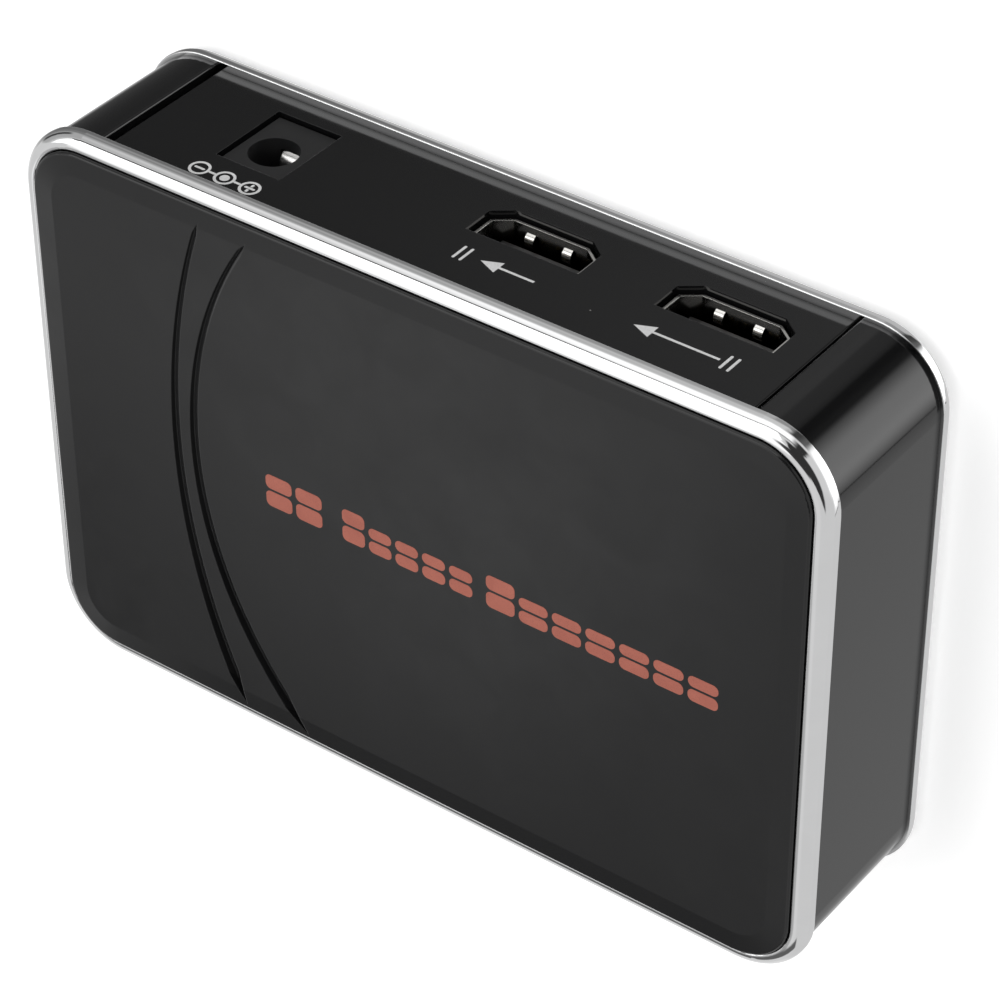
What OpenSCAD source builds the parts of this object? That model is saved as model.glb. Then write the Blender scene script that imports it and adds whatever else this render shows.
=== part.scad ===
/* [Case] */
// Length of the case along X, over the trim rings
case_length = 116; // [114:1:140]
// Depth of the case along Y, over the trim rings
case_depth = 80; // [79:1:100]
// Height of the case over both trim rings, without the feet
case_height = 26; // [24:0.5:34]
// Radius of the trim rings' outer corners
corner_radius = 9.8; // [9:0.1:11]
// How far the side walls stand in from the trim rings
wall_inset = 0.6; // [0.5:0.05:1.1]
// Thickness of the side walls
wall_thickness = 2.65; // [2.2:0.05:3]
// Thickness of the floor
floor_thickness = 2; // [1.6:0.1:2.6]
// Thickness of the top cover
cover_thickness = 2; // [1.6:0.1:2.6]

/* [Trim rings] */
// Height of each trim ring
ring_height = 2.3; // [2:0.1:2.8]
// Width of a trim ring, seen from above
ring_width = 2.1; // [1.8:0.1:2.4]
// Radius of a trim ring's rounded outer corner
ring_round = 1.75; // [1.2:0.05:1.8]
// Rounding of a trim ring's inner edge
ring_lip = 0.2; // [0.1:0.05:0.3]
// Rounding of a trim ring's edge towards the walls
ring_edge = 0.15; // [0.1:0.05:0.5]
// Gap between a trim ring and the plate inside it
ring_gap = 0.1; // [0.1:0.05:0.4]
// Length of the tabs that hold a trim ring
tab_length = 6; // [4:0.5:9]
// How far the tabs reach in from a trim ring
tab_reach = 1; // [0.8:0.1:1.2]
// Height of the tabs
tab_height = 0.9; // [0.6:0.1:1.2]
// Distance between the two tabs of a long side
tab_spacing = 48; // [30:1:70]

/* [Top cover] */
// How far the cover stands above the upper trim ring
cover_rise = 0.5; // [0:0.05:0.6]
// Width of the cover's sloping border
border_width = 3; // [2:0.1:4]
// How far the border falls towards its edge
border_drop = 0.1; // [0.05:0.05:0.4]
// Rounding of the plates' outer edges
edge_radius = 0.35; // [0.1:0.05:0.5]
// How far the cover's lip reaches down inside the walls
lip_depth = 1.5; // [1:0.1:2.5]
// Thickness of the cover's lip and of the floor's ribs
lip_thickness = 1.2; // [0.8:0.1:1.6]
// Clearance of the lip and ribs to the walls and panels
lip_clearance = 0.15; // [0.1:0.05:0.3]
// Width of the arc grooves' steep side at their front ends
groove_steep = 0.3; // [0.2:0.05:1]
// Width of the arc grooves' gentle side at their front ends
groove_ramp = 1.8; // [0.8:0.05:2]
// Depth of the arc grooves at their front ends
groove_depth = 1; // [0.6:0.05:1.2]
// Depth of the arc grooves at their rear ends
groove_rear_depth = 0.36; // [0.2:0.02:0.5]
// Distance of the arc grooves' front ends from the case's front
groove_front = 3; // [2.8:0.1:6]
// Distance of the arc grooves' rear ends from the case's rear
groove_rear = 4.6; // [3:0.1:8]
// Place along Y of the arcs' centres
groove_y = 2.7; // [-6:0.1:6]
// Radius of the outer arc groove
outer_groove_radius = 96; // [80:1:130]
// Distance of the outer arc groove from the case's left end
outer_groove_offset = 22.45; // [16:0.05:30]
// Radius of the inner arc groove
inner_groove_radius = 58; // [50:1:78]
// Distance of the inner arc groove from the case's left end
inner_groove_offset = 25.35; // [24:0.05:36]

/* [Panels] */
// Thickness of the rear and front panels
panel_thickness = 1.8; // [1.6:0.1:2.2]
// How far the panels stand in from the trim rings
panel_inset = 1.2; // [1:0.05:1.4]
// Depth of the step between a panel's face and its side tongues
panel_step = 0.8; // [0.6:0.05:1]
// Clearance of a panel at its tongues and top edge
panel_clearance = 0.1; // [0.05:0.05:0.2]
// Straight end of the side walls beyond the rounded corners
wrap_end = 1.7; // [1.4:0.1:2.4]
// Width of the seams between panels and side walls
seam_gap = 0.65; // [0.5:0.05:1]
// Rounding of the upright edges beside the seams
seam_radius = 0.3; // [0.1:0.05:0.5]
// How far a panel's tongues run in behind the side walls
tongue_reach = 1.2; // [0.8:0.1:1.3]

/* [Feet and screws] */
// Height of the feet below the case
foot_height = 1; // [0.6:0.1:2]
// Radius of the feet
foot_radius = 4.5; // [3.5:0.1:5]
// Depth of the recesses that the feet are glued into
foot_recess = 0.5; // [0.3:0.1:0.8]
// Distance of the feet from the screws, along X
foot_offset = 10; // [9:0.5:14]
// Radius of the posts and bosses that the case screws pass through
post_radius = 3.6; // [3.4:0.1:4]
// Height of the posts above the case's underside
post_height = 9; // [7:0.5:11]
// Radius of the case screws
screw_radius = 1.3; // [1.1:0.1:1.5]
// Length of the case screws under the head
screw_length = 13; // [11:0.5:15]
// Radius of the case screws' heads
screw_head_radius = 2.3; // [2:0.1:2.5]
// Height of the case screws' heads
screw_head_height = 1.6; // [1.2:0.1:2]
// Depth of the wells that the case screws' heads lie in
well_depth = 4; // [3:0.5:5]
// Radial clearance of screws in the holes that they grip
grip_clearance = 0.05; // [0.03:0.01:0.08]
// Radial clearance of screws in the holes that they pass through
pass_clearance = 0.2; // [0.1:0.05:0.3]

/* [Board] */
// Thickness of the circuit board
board_thickness = 1.6; // [1.2:0.1:2]
// Height of the standoffs under the board
standoff_height = 2.4; // [2.3:0.1:3.2]
// Radius of the standoffs
standoff_radius = 2.6; // [2.3:0.1:3]
// Gap between the board's edges and the panels
board_gap = 0.8; // [0.5:0.1:1]
// Gap between the board's ends and the posts
board_post_gap = 0.8; // [0.5:0.1:1]
// Distance of the board's screws from the board's ends
board_screw_inset = 3.4; // [3:0.1:4]
// Place of the board's screws along Y
board_screw_y = 20; // [18:0.5:21]
// Radius of the board's screws
board_screw_radius = 1.25; // [1:0.05:1.4]
// Length of the board's screws under the head
board_screw_length = 4.4; // [3.6:0.1:4.6]
// Radius of the board screws' heads
board_screw_head_radius = 2.2; // [1.9:0.1:2.4]
// Height of the board screws' heads
board_screw_head_height = 1.4; // [1:0.1:1.8]

/* [Video sockets] */
// Distance of the video output socket from the case's right end
video_out_offset = 24.2; // [23:0.1:27]
// Distance between the two video sockets
video_pitch = 26.3; // [22:0.1:28]
// Outer width of a video socket's shell
video_width = 15; // [14.6:0.1:15.4]
// Width of the shell's narrow side
video_narrow = 10.6; // [10:0.1:11.2]
// Outer height of the shell
video_height = 5.55; // [5.3:0.05:5.8]
// Height of the shell's slanted flanks
video_flank = 1.65; // [1.4:0.05:1.9]
// Length of the shell
video_length = 11; // [10:0.5:11.5]
// Height of the shell above the board
video_lift = 0.8; // [0.6:0.1:1]
// Thickness of the sockets' sheet metal
sheet = 0.35; // [0.25:0.05:0.4]
// How far the video sockets stand back from the rear panel's face
video_recess = 0.85; // [0.5:0.05:1.2]
// Clearance of the panels' openings round the sockets
opening_clearance = 0.45; // [0.3:0.05:0.55]
// Width of a socket's tongue
video_tongue_width = 11.4; // [10:0.1:11.8]
// Thickness of a socket's tongue
tongue_thickness = 1.9; // [1.6:0.1:2]
// Distance of the tongue behind the shell's front edge
tongue_setback = 2.2; // [1.6:0.1:3]
// Distance between a shell's two spring contacts
spring_spacing = 5.3; // [4.5:0.1:6]
// Width of the spring contacts
spring_width = 1.25; // [0.9:0.05:1.6]
// Radius of the spring contacts' bumps
spring_radius = 1.1; // [0.8:0.05:1.4]
// How far the spring contacts' bumps stand up from the shell
spring_rise = 0.65; // [0.4:0.05:0.7]
// Distance of the spring contacts behind the shell's front edge
spring_setback = 1.95; // [1.6:0.05:2.4]
// Clearance of the sockets' legs in the board's slots
leg_clearance = 0.25; // [0.15:0.05:0.3]

/* [Power jack] */
// Distance of the power jack from the case's left end
power_offset = 28.9; // [24:0.1:34]
// Width of the power jack
jack_width = 8.8; // [8.4:0.1:9.2]
// Height of the power jack's collar
jack_height = 11; // [10.4:0.1:11.6]
// Length of the power jack
jack_length = 13.5; // [12.5:0.5:14.5]
// Length of the power jack's square collar
jack_collar = 3.5; // [3:0.1:4]
// Height of the power jack's bore above the board
jack_axis = 6.5; // [6.3:0.1:6.8]
// Radius of the power jack's bore
jack_bore_radius = 3.2; // [3:0.05:3.4]
// Depth of the power jack's bore
jack_bore_depth = 9.5; // [9:0.5:10.5]
// Radius of the power jack's centre pin
jack_pin_radius = 1; // [0.8:0.05:1.25]
// Distance of the pin's tip behind the jack's face
jack_pin_setback = 2.5; // [1.5:0.1:3.5]
// Width of the power jack's spring contact
jack_spring_width = 2.4; // [1.8:0.1:2.8]
// How far the power jack stands back from the rear panel's face
jack_recess = 0.5; // [0.3:0.05:0.8]

/* [Drive socket] */
// Distance of the drive socket from the case's left end
drive_offset = 31; // [27:0.5:34]
// Outer width of the drive socket's shell
drive_width = 13.2; // [13:0.1:13.6]
// Outer height of the drive socket's shell
drive_height = 5.8; // [5.6:0.1:6.2]
// Length of the drive socket's shell
drive_length = 13; // [12:0.5:14]
// Height of the drive socket above the board
drive_lift = 0.5; // [0.3:0.1:0.8]
// How far the drive socket stands back from the front panel's face
drive_recess = 0.5; // [0.3:0.05:0.8]
// Width of the drive socket's tongue
drive_tongue_width = 11; // [10.4:0.1:11.4]

/* [Microphone jack] */
// Distance of the microphone jack from the drive socket
mic_pitch = 17.5; // [14:0.5:20]
// Width of the microphone jack's body
mic_width = 6.4; // [6:0.1:7]
// Height of the microphone jack's body
mic_height = 5.8; // [5.6:0.1:6.4]
// Length of the microphone jack's body
mic_length = 12; // [11:0.5:13]
// Height of the microphone jack's bore above the board
mic_axis = 3.1; // [3:0.1:3.3]
// Radius of the microphone jack's bore
mic_bore_radius = 1.8; // [1.76:0.01:1.9]
// Depth of the microphone jack's bore
mic_bore_depth = 13.5; // [12.5:0.5:14]
// Radius of the microphone jack's nose
mic_nose_radius = 2.5; // [2.4:0.05:2.7]
// Radius of the plated ring on the nose
mic_ring_radius = 3; // [2.9:0.05:3.2]
// Length of the plated ring
mic_ring_length = 1.5; // [1:0.1:2]
// How far the microphone jack stands back from the front panel's face
mic_recess = 0.2; // [0.1:0.05:0.4]

/* [Record button] */
// Distance of the record button from the case's right end
button_offset = 28; // [24:0.5:32]
// Radius of the record button
button_radius = 3.8; // [3.4:0.1:4]
// How far the record button stands out of the front panel
button_proud = 0.9; // [0.7:0.1:1.4]
// How far the record button travels
button_travel = 0.5; // [0.3:0.05:0.6]
// Width of the button's flange beyond its cap
button_flange = 0.7; // [0.5:0.05:0.8]
// Thickness of the button's flange
flange_thickness = 1; // [0.8:0.1:1.4]
// Radius of the hollow in the button's face
button_dish_radius = 16; // [14:1:30]
// Running clearance of the button in the panel
button_clearance = 0.2; // [0.15:0.05:0.3]
// Height of the button's axis above the board
button_axis = 5.2; // [5:0.1:5.6]
// Radius of the switch's plunger
plunger_radius = 1.75; // [1.5:0.05:2]
// Length of the plunger outside the switch at rest
plunger_reach = 2.2; // [1.8:0.1:3]
// Length of the plunger inside the switch at rest
plunger_depth = 1.6; // [1.2:0.1:2]
// Radial clearance of the plunger in the switch
plunger_clearance = 0.08; // [0.05:0.01:0.1]
// Gap between the button's stem and the plunger
stem_gap = 0.1; // [0.05:0.05:0.2]
// Width of the switch
switch_width = 6.2; // [6:0.1:6.6]
// Depth of the switch along Y
switch_depth = 4.2; // [4:0.1:5]
// Height of the switch
switch_height = 8; // [7.8:0.1:8.6]

/* [Status lamps] */
// Distance of the nearer status lamp from the record button
lamp_offset = 15; // [11:0.5:17]
// Distance between the two status lamps
lamp_pitch = 6; // [4:0.5:8]
// Radius of the light pipes
pipe_radius = 1; // [0.8:0.1:1.2]
// Radius of the light pipes' bend
pipe_bend = 2; // [1.6:0.1:2.4]
// Distance of the lamps behind the front panel's face
lamp_setback = 7; // [6:0.5:8]
// How far the light pipes stand out of the front panel
pipe_proud = 0.2; // [0.1:0.05:0.4]
// Width and length of the light pipes' collars behind the panel
pipe_collar = 0.6; // [0.4:0.1:0.8]
// Clearance of the light pipes to the panel and the lamps
pipe_clearance = 0.1; // [0.05:0.05:0.2]

/* [Chips] */
// Width of the video processor
processor_width = 17; // [14:1:19]
// Height of the video processor
processor_height = 1.4; // [1:0.1:2]
// Thickness of the thermal pad
pad_thickness = 0.5; // [0.3:0.1:1]
// Width of the heat sink
sink_width = 24; // [20:1:25]
// Height of the heat sink's fins above its base
fin_height = 5; // [3:0.5:6]
// Thickness of the heat sink's base
sink_base = 2; // [1.5:0.1:3]
// Thickness of the heat sink's fins
fin_thickness = 1.1; // [0.8:0.1:1.4]
// Number of the heat sink's fins
fin_count = 8; // [5:1:9]
// Width of the video receiver chip without its leads
receiver_width = 12; // [10:0.5:13]
// Width of the video transmitter chip without its leads
transmitter_width = 9; // [7:0.5:10]
// Height of the leaded chips
chip_height = 1.4; // [1:0.1:1.8]
// Radius of the can capacitors
can_radius = 3.1; // [2.5:0.1:3.3]
// Height of the can capacitors
can_height = 5.4; // [4.5:0.1:7]
// Width of the power inductors
inductor_width = 7; // [6:0.5:8]
// Height of the power inductors
inductor_height = 4; // [3:0.1:5]

/* [Hidden] */
$fn = 64;

// Heights of the case, from the surface that the feet stand on
base_z = foot_height;
top_z = base_z + case_height;
wall_foot_z = base_z + ring_height;
wall_top_z = top_z - ring_height;
floor_top_z = base_z + floor_thickness;
board_bottom_z = floor_top_z + standoff_height;
board_top_z = board_bottom_z + board_thickness;
post_top_z = base_z + post_height;
well_top_z = base_z + well_depth;

// Corner axes, which the case's screws share
axis_x = case_length / 2 - corner_radius;
axis_y = case_depth / 2 - corner_radius;

// Distances in from the trim rings' outside
plate_inset = ring_width + ring_gap;
wall_inner = wall_inset + wall_thickness;
panel_inner = panel_inset + panel_thickness;
lip_inset = max(wall_inner, panel_inner) + lip_clearance;
pocket_inset = panel_inset + panel_step - panel_clearance;

// Panels and the board between them
panel_face_y = case_depth / 2 - panel_inset;
panel_back_y = panel_face_y - panel_thickness;
wrap_x = axis_x - wrap_end;
panel_half = wrap_x - seam_gap;
tongue_half = wrap_x + tongue_reach;
board_edge_y = panel_back_y - board_gap;
board_half = axis_x - post_radius - board_post_gap;

// Places of what the panels carry and of the board's screws
video_out_x = case_length / 2 - video_out_offset;
video_in_x = video_out_x - video_pitch;
power_x = power_offset - case_length / 2;
drive_x = drive_offset - case_length / 2;
mic_x = drive_x + mic_pitch;
button_x = case_length / 2 - button_offset;
board_screw_x = board_half - board_screw_inset;

// Overshoot of cuts, thickness of solder and size of the chips' leads
cut = 1;
solder = 0.2;
lead_width = 0.4;
lead_length = 1;
lead_pitch = 1;

// Legs of the sockets' shells, and how far legs and tails stand out under the board
leg_depth = 1.2;
leg_end = 0.7;
leg_tip = board_thickness + leg_end;
front_leg_setback = 3.2;
rear_leg_setback = 8.6;

// Inserts of the video sockets: back wall, foot on the board, contacts and tails
insert_back = 2.5;
insert_foot = 1.5;
tail_length = 1.2;
contact_pitch = 1;
contact_width = 0.4;
contact_thickness = 0.1;

// Insert of the drive socket
drive_back = 3;
drive_foot = 1.2;
drive_foot_margin = 1;
drive_contact_pitch = 2.3;
drive_contact_width = 1;

// How much more and how much less than a groove the arcs bow that point its ends
groove_spread = 4;

// Joint of a video shell's folded sheet, open at the front edge
shell_joint = 0.3;
shell_joint_depth = 0.8;

// Slot under the power jack's bore, and the bow of the leaf in it
jack_slot_setback = 1.5;
leaf_bow = 3;
leaf_rise = 1.2;
leaf_drop = 1.3;

// Microphone jack's contacts
mic_contact_length = 1.2;
mic_front_setback = 3;
mic_rear_setback = 8;

// Button's rim and stem, the switch's collar, and their places behind the front panel's face
button_rim = 0.4;
stem_length = 2;
switch_collar = 0.6;
flange_front = -panel_thickness - button_clearance;
flange_back = flange_front - flange_thickness;
plunger_front = flange_back - stem_length;
switch_front = plunger_front - stem_gap - plunger_reach;

// Lamps on the board
lamp_width = 2;
lamp_depth = 1.4;
lamp_height = 0.8;

// Ribs that tie the posts and bosses to the walls
rib_thickness = 1.2;

// Sizes of the smaller parts on the board
memory_length = 11;
memory_width = 8;
memory_height = 1.1;
flash_length = 4.9;
flash_width = 3.9;
flash_height = 1.5;
crystal_length = 9;
crystal_width = 4;
crystal_height = 3.2;
can_base = 0.8;
coil_groove = 0.4;
regulator_length = 6.5;
regulator_width = 3.5;
regulator_height = 1.6;
chip_part_length = 1.6;
chip_part_width = 0.8;
chip_part_height = 0.7;
chip_part_pitch = 2.7;

// Places of the chips, from the board's middle, its right end and its rear edge
processor_x = 6;
processor_y = -6;
receiver_x = 6.5;
video_chip_setback = 21.2;
transmitter_inset = 13.8;
memory_inset = 16.3;
memory_y = 1;
memory_pitch = 12;
flash_x = -14;
flash_y = -8;
first_crystal_x = -15;
first_crystal_y = 12.5;
second_crystal_inset = 19.8;
second_crystal_y = -19.5;
processor_place = [processor_x, processor_y];
receiver_place = [receiver_x, board_edge_y - video_chip_setback];
transmitter_place = [board_half - transmitter_inset, board_edge_y - video_chip_setback];
memory_x = board_half - memory_inset;
memory_places = [[memory_x, memory_y], [memory_x, memory_y - memory_pitch]];
flash_place = [flash_x, flash_y];
second_crystal_x = board_half - second_crystal_inset;
crystal_places = [[first_crystal_x, first_crystal_y], [second_crystal_x, second_crystal_y]];

// Places of the power parts, from the board's left end and its rear edge
can_inset = 6.8;
can_pitch = 8.5;
can_y = 11;
can_drop = 17;
inductor_inset = 15.8;
inductor_y = -1;
inductor_pitch = 10;
regulator_x = -13;
regulator_setback = 9.2;
can_x = can_inset - board_half;
can_places = [[can_x, can_y], [can_x + can_pitch, can_y], [can_x, can_y - can_drop]];
inductor_x = inductor_inset - board_half;
inductor_places = [[inductor_x, inductor_y], [inductor_x, inductor_y - inductor_pitch]];
regulator_place = [regulator_x, board_edge_y - regulator_setback];

// Rows of chip parts: the first part's place and the number of parts
front_row_x = -10;
front_row_setback = 15.7;
rear_row_x = -17;
rear_row_setback = 15.2;
middle_row_x = -17;
middle_row_y = 3;
end_row_inset = 8.8;
end_row_y = -4;
chip_part_rows = [
  [front_row_x, front_row_setback - board_edge_y, 8],
  [rear_row_x, board_edge_y - rear_row_setback, 6],
  [middle_row_x, middle_row_y, 4],
  [board_half - end_row_inset, end_row_y, 3]
];

// A profile drawn at its distance from a corner axis, carried all round the case
module perimeter() {
  for (side = [[0, axis_x, axis_y], [90, axis_y, axis_x], [180, axis_x, axis_y], [270, axis_y, axis_x]])
    rotate([0, 0, side[0]]) {
      translate([-side[1], side[2], 0])
        rotate([90, 0, 90])
          linear_extrude(2 * side[1])
            children();
      translate([side[1], side[2], 0])
        rotate_extrude(angle = 90)
          children();
    }
}

// A rectangle of a perimeter profile, from one inset to another
module band(from_inset, to_inset, low, high) {
  translate([corner_radius - to_inset, low])
    square([to_inset - from_inset, high - low]);
}

// What a rounding leaves off a square corner of a section; the signs say which way the corner points
module corner_waste(radius, x_sign, y_sign) {
  difference() {
    translate([x_sign * (cut - radius) / 2, y_sign * (cut - radius) / 2])
      square(radius + cut, center = true);
    translate([-x_sign * radius, -y_sign * radius])
      circle(r = radius);
  }
}

// Section of a plate's border, with its face at a height: a slope, a round edge and an upright side
module plate_border(height) {
  edge = corner_radius - plate_inset;
  slope_start = edge - border_width;
  difference() {
    band(plate_inset, corner_radius, -ring_height, height);
    translate([0, height]) {
      polygon([
        [slope_start, 0],
        [edge - edge_radius, -border_drop],
        [edge + cut, -border_drop],
        [edge + cut, cut],
        [slope_start, cut]
      ]);
      translate([edge, -border_drop])
        corner_waste(edge_radius, 1, 1);
    }
  }
}

// A plate inside a trim ring, with its outer face at a height over the ring and its seat at the ring's depth
module plate(thickness, height) {
  perimeter() {
    difference() {
      plate_border(height);
      band(lip_inset, corner_radius + cut, -ring_height - cut, height - thickness * 0.6);
    }
    band(lip_inset, corner_radius, height - thickness, height - thickness / 2);
  }
  translate([-axis_x, -axis_y, height - thickness])
    cube([2 * axis_x, 2 * axis_y, thickness]);
}

// The places of a ring's tabs: two on each long side and one on each end
module at_tabs() {
  for (turn = [0, 180])
    rotate([0, 0, turn]) {
      for (side = [-1, 1])
        translate([side * tab_spacing / 2, case_depth / 2, 0])
          children();
      rotate([0, 0, 90])
        translate([0, case_length / 2, 0])
          children();
    }
}

// Pockets in a plate's edge for the tabs of the ring round it
module tab_pockets() {
  length = tab_length + 2 * ring_gap;
  reach = tab_reach + ring_gap / 2;
  at_tabs()
    translate([-length / 2, -ring_width - reach, -ring_height - cut])
      cube([length, reach, tab_height + ring_gap + cut]);
}

// A trim ring with its outer face at height 0: flat on top, round outside, with soft edges
module trim_ring() {
  perimeter()
    difference() {
      band(0, ring_width, -ring_height, 0);
      translate([corner_radius, 0])
        corner_waste(ring_round, 1, 1);
      translate([corner_radius - ring_width, 0])
        corner_waste(ring_lip, -1, 1);
      translate([corner_radius, -ring_height])
        corner_waste(ring_edge, 1, -1);
    }
  at_tabs()
    translate([-tab_length / 2, -ring_width - tab_reach, -ring_height])
      cube([tab_length, tab_reach + ring_width / 2, tab_height]);
}

// A circle through two points that bows out by a distance on the left of the line between them
module bowed_circle(from, to, bow) {
  half = norm(to - from) / 2;
  radius = (half * half + bow * bow) / (2 * bow);
  left = [from[1] - to[1], to[0] - from[0]] / (2 * half);
  translate((from + to) / 2 + (bow - radius) * left)
    circle(r = radius, $fn = 180);
}

// A groove along an arc, deeper and wider towards the front, steep on its left and pointed at both ends
module arc_groove(radius, offset) {
  front_y = groove_front - case_depth / 2 - groove_y;
  rear_y = case_depth / 2 - groove_rear - groove_y;
  front_middle = (groove_ramp - groove_steep) / 2;
  rear_middle = front_middle * groove_rear_depth / groove_depth;
  front_end = [front_middle - sqrt(radius * radius - front_y * front_y), front_y];
  rear_end = [rear_middle - sqrt(radius * radius - rear_y * rear_y), rear_y];
  half = norm(rear_end - front_end) / 2;
  bow = radius - sqrt(radius * radius - half * half);
  tilt = atan2(groove_depth - groove_rear_depth, rear_y - front_y);
  translate([offset - case_length / 2 + radius, groove_y, cover_rise])
    intersection() {
      translate([0, front_y, -groove_depth])
        rotate([tilt, 0, 0])
          translate([0, -front_y, 0])
            rotate_extrude($fn = 180)
              polygon([
                [radius, 0],
                [radius + 2 * groove_steep, 2 * groove_depth],
                [radius - 2 * groove_ramp, 2 * groove_depth]
              ]);
      translate([0, 0, -cover_thickness])
        linear_extrude(2 * cover_thickness)
          difference() {
            bowed_circle(front_end, rear_end, bow + groove_spread);
            bowed_circle(front_end, rear_end, bow - groove_spread);
          }
    }
}

// The four corner axes
module at_corners() {
  for (x = [-1, 1], y = [-1, 1])
    translate([x * axis_x, y * axis_y, 0])
      children();
}

// Ribs from the corner axes out towards the case's ends
module at_corner_ribs() {
  for (x = [0, 1], y = [-1, 1])
    mirror([x, 0, 0])
      translate([axis_x, y * axis_y - rib_thickness / 2, 0])
        children();
}

// The four places of the board's screws
module at_board_screws() {
  for (x = [-1, 1], y = [-1, 1])
    translate([x * board_screw_x, y * board_screw_y, 0])
      children();
}

// A place on the rear or front panel's face, level with the board's top, looking out along +Y
module on_rear(x) {
  translate([x, panel_face_y, board_top_z])
    children();
}

module on_front(x) {
  rotate([0, 0, 180])
    translate([-x, panel_face_y, board_top_z])
      children();
}

// A round bar along Y, from one place to another
module bar_y(radius, from_y, to_y, height) {
  translate([0, to_y, height])
    rotate([90, 0, 0])
      cylinder(r = radius, h = to_y - from_y);
}

// A box centred on X, from one place along Y to another and from one height to another
module block(width, from_y, to_y, low, high) {
  translate([-width / 2, from_y, low])
    cube([width, to_y - from_y, high - low]);
}

module top_cover() {
  lip_low = -ring_height - lip_depth;
  plate_middle = cover_rise - cover_thickness / 2;
  color([0.12, 0.12, 0.13])
    translate([0, 0, top_z])
      difference() {
        union() {
          plate(cover_thickness, cover_rise);
          perimeter()
            band(lip_inset, lip_inset + lip_thickness, lip_low, plate_middle);
          at_corners()
            translate([0, 0, post_top_z - top_z])
              cylinder(r = post_radius, h = top_z + plate_middle - post_top_z);
          at_corner_ribs()
            translate([0, 0, lip_low])
              cube([corner_radius - lip_inset, rib_thickness, plate_middle - lip_low]);
        }
        tab_pockets();
        arc_groove(outer_groove_radius, outer_groove_offset);
        arc_groove(inner_groove_radius, inner_groove_offset);
        at_corners()
          translate([0, 0, post_top_z - top_z - cut])
            cylinder(r = screw_radius + grip_clearance, h = well_top_z + screw_length - post_top_z + 2 * cut);
      }
}

module top_trim_ring() {
  color([0.85, 0.85, 0.87])
    translate([0, 0, top_z])
      trim_ring();
}

module bottom_trim_ring() {
  color([0.85, 0.85, 0.87])
    translate([0, 0, base_z])
      mirror([0, 0, 1])
        trim_ring();
}

// What a rounded upright edge leaves off a corner that points to -X and +Y
module edge_waste(height) {
  linear_extrude(height)
    corner_waste(seam_radius, -1, 1);
}

// The window that a panel fills in the side walls, with pockets for its tongues
module panel_window() {
  wall_y = case_depth / 2;
  height = wall_top_z - wall_foot_z + cut;
  translate([-wrap_x, wall_y - lip_inset, wall_foot_z])
    cube([2 * wrap_x, lip_inset + cut, height]);
  translate([-tongue_half - panel_clearance, wall_y - lip_inset, wall_foot_z])
    cube([2 * (tongue_half + panel_clearance), lip_inset - pocket_inset, height]);
  for (side = [0, 1])
    mirror([side, 0, 0])
      translate([wrap_x, wall_y - wall_inset, wall_foot_z])
        edge_waste(height);
}

module bottom_shell() {
  rib_y = case_depth / 2 - lip_inset - lip_thickness;
  rib_length = corner_radius - (wall_inner + plate_inset) / 2;
  color([0.1, 0.1, 0.11])
    difference() {
      union() {
        difference() {
          union() {
            translate([0, 0, base_z])
              mirror([0, 0, 1])
                plate(floor_thickness, 0);
            perimeter() band(wall_inset, wall_inner, wall_foot_z, wall_top_z);
          }
          for (turn = [0, 180])
            rotate([0, 0, turn])
              panel_window();
        }
        for (turn = [0, 180])
          rotate([0, 0, turn])
            translate([-panel_half, rib_y, base_z + floor_thickness / 2])
              cube([2 * panel_half, lip_thickness, wall_foot_z + lip_depth - base_z - floor_thickness / 2]);
        at_corners()
          translate([0, 0, base_z + floor_thickness / 2])
            cylinder(r = post_radius, h = post_top_z - base_z - floor_thickness / 2);
        at_corner_ribs()
          translate([0, 0, base_z + floor_thickness / 2])
            cube([rib_length, rib_thickness, post_height - floor_thickness]);
        at_board_screws()
          translate([0, 0, base_z + floor_thickness / 2])
            cylinder(r = standoff_radius, h = board_bottom_z - base_z - floor_thickness / 2);
      }
      translate([0, 0, base_z])
        mirror([0, 0, 1])
          tab_pockets();
      at_corners() {
        translate([0, 0, base_z - cut])
          cylinder(r = screw_head_radius + 2 * pass_clearance, h = well_depth + cut);
        translate([0, 0, base_z])
          cylinder(r = screw_radius + pass_clearance, h = post_height + cut);
      }
      at_board_screws()
        translate([0, 0, board_top_z - board_screw_length - pass_clearance])
          cylinder(r = board_screw_radius + grip_clearance, h = board_screw_length);
      at_feet()
        translate([0, 0, base_z - cut])
          cylinder(r = foot_radius + pass_clearance, h = foot_recess + cut);
    }
}

// The four places of the feet
module at_feet() {
  for (x = [-1, 1], y = [-1, 1])
    translate([x * (axis_x - foot_offset), y * axis_y, 0])
      children();
}

// The step-edged plate that both panels are cut from
module panel_blank() {
  low = wall_foot_z;
  high = wall_top_z - panel_clearance;
  difference() {
    block(2 * panel_half, panel_back_y, panel_face_y, low, high);
    for (side = [0, 1])
      mirror([side, 0, 0])
        translate([-panel_half, panel_face_y, low - cut])
          edge_waste(high - low + 2 * cut);
  }
  block(2 * tongue_half, panel_back_y, panel_face_y - panel_step, low, high);
}

// An opening right through a panel, from an outline drawn in X and Z
module panel_opening() {
  translate([0, cut, 0])
    rotate([90, 0, 0])
      linear_extrude(panel_thickness + 2 * cut)
        children();
}

module rear_panel() {
  color([0.12, 0.12, 0.13])
    difference() {
      panel_blank();
      for (x = [video_in_x, video_out_x])
        on_rear(x)
          panel_opening()
            translate([0, video_lift])
              video_outline(-opening_clearance);
      on_rear(power_x)
        panel_opening()
          translate([-jack_width / 2 - opening_clearance, -opening_clearance])
            square([jack_width + 2 * opening_clearance, jack_height + 2 * opening_clearance]);
    }
}

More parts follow.
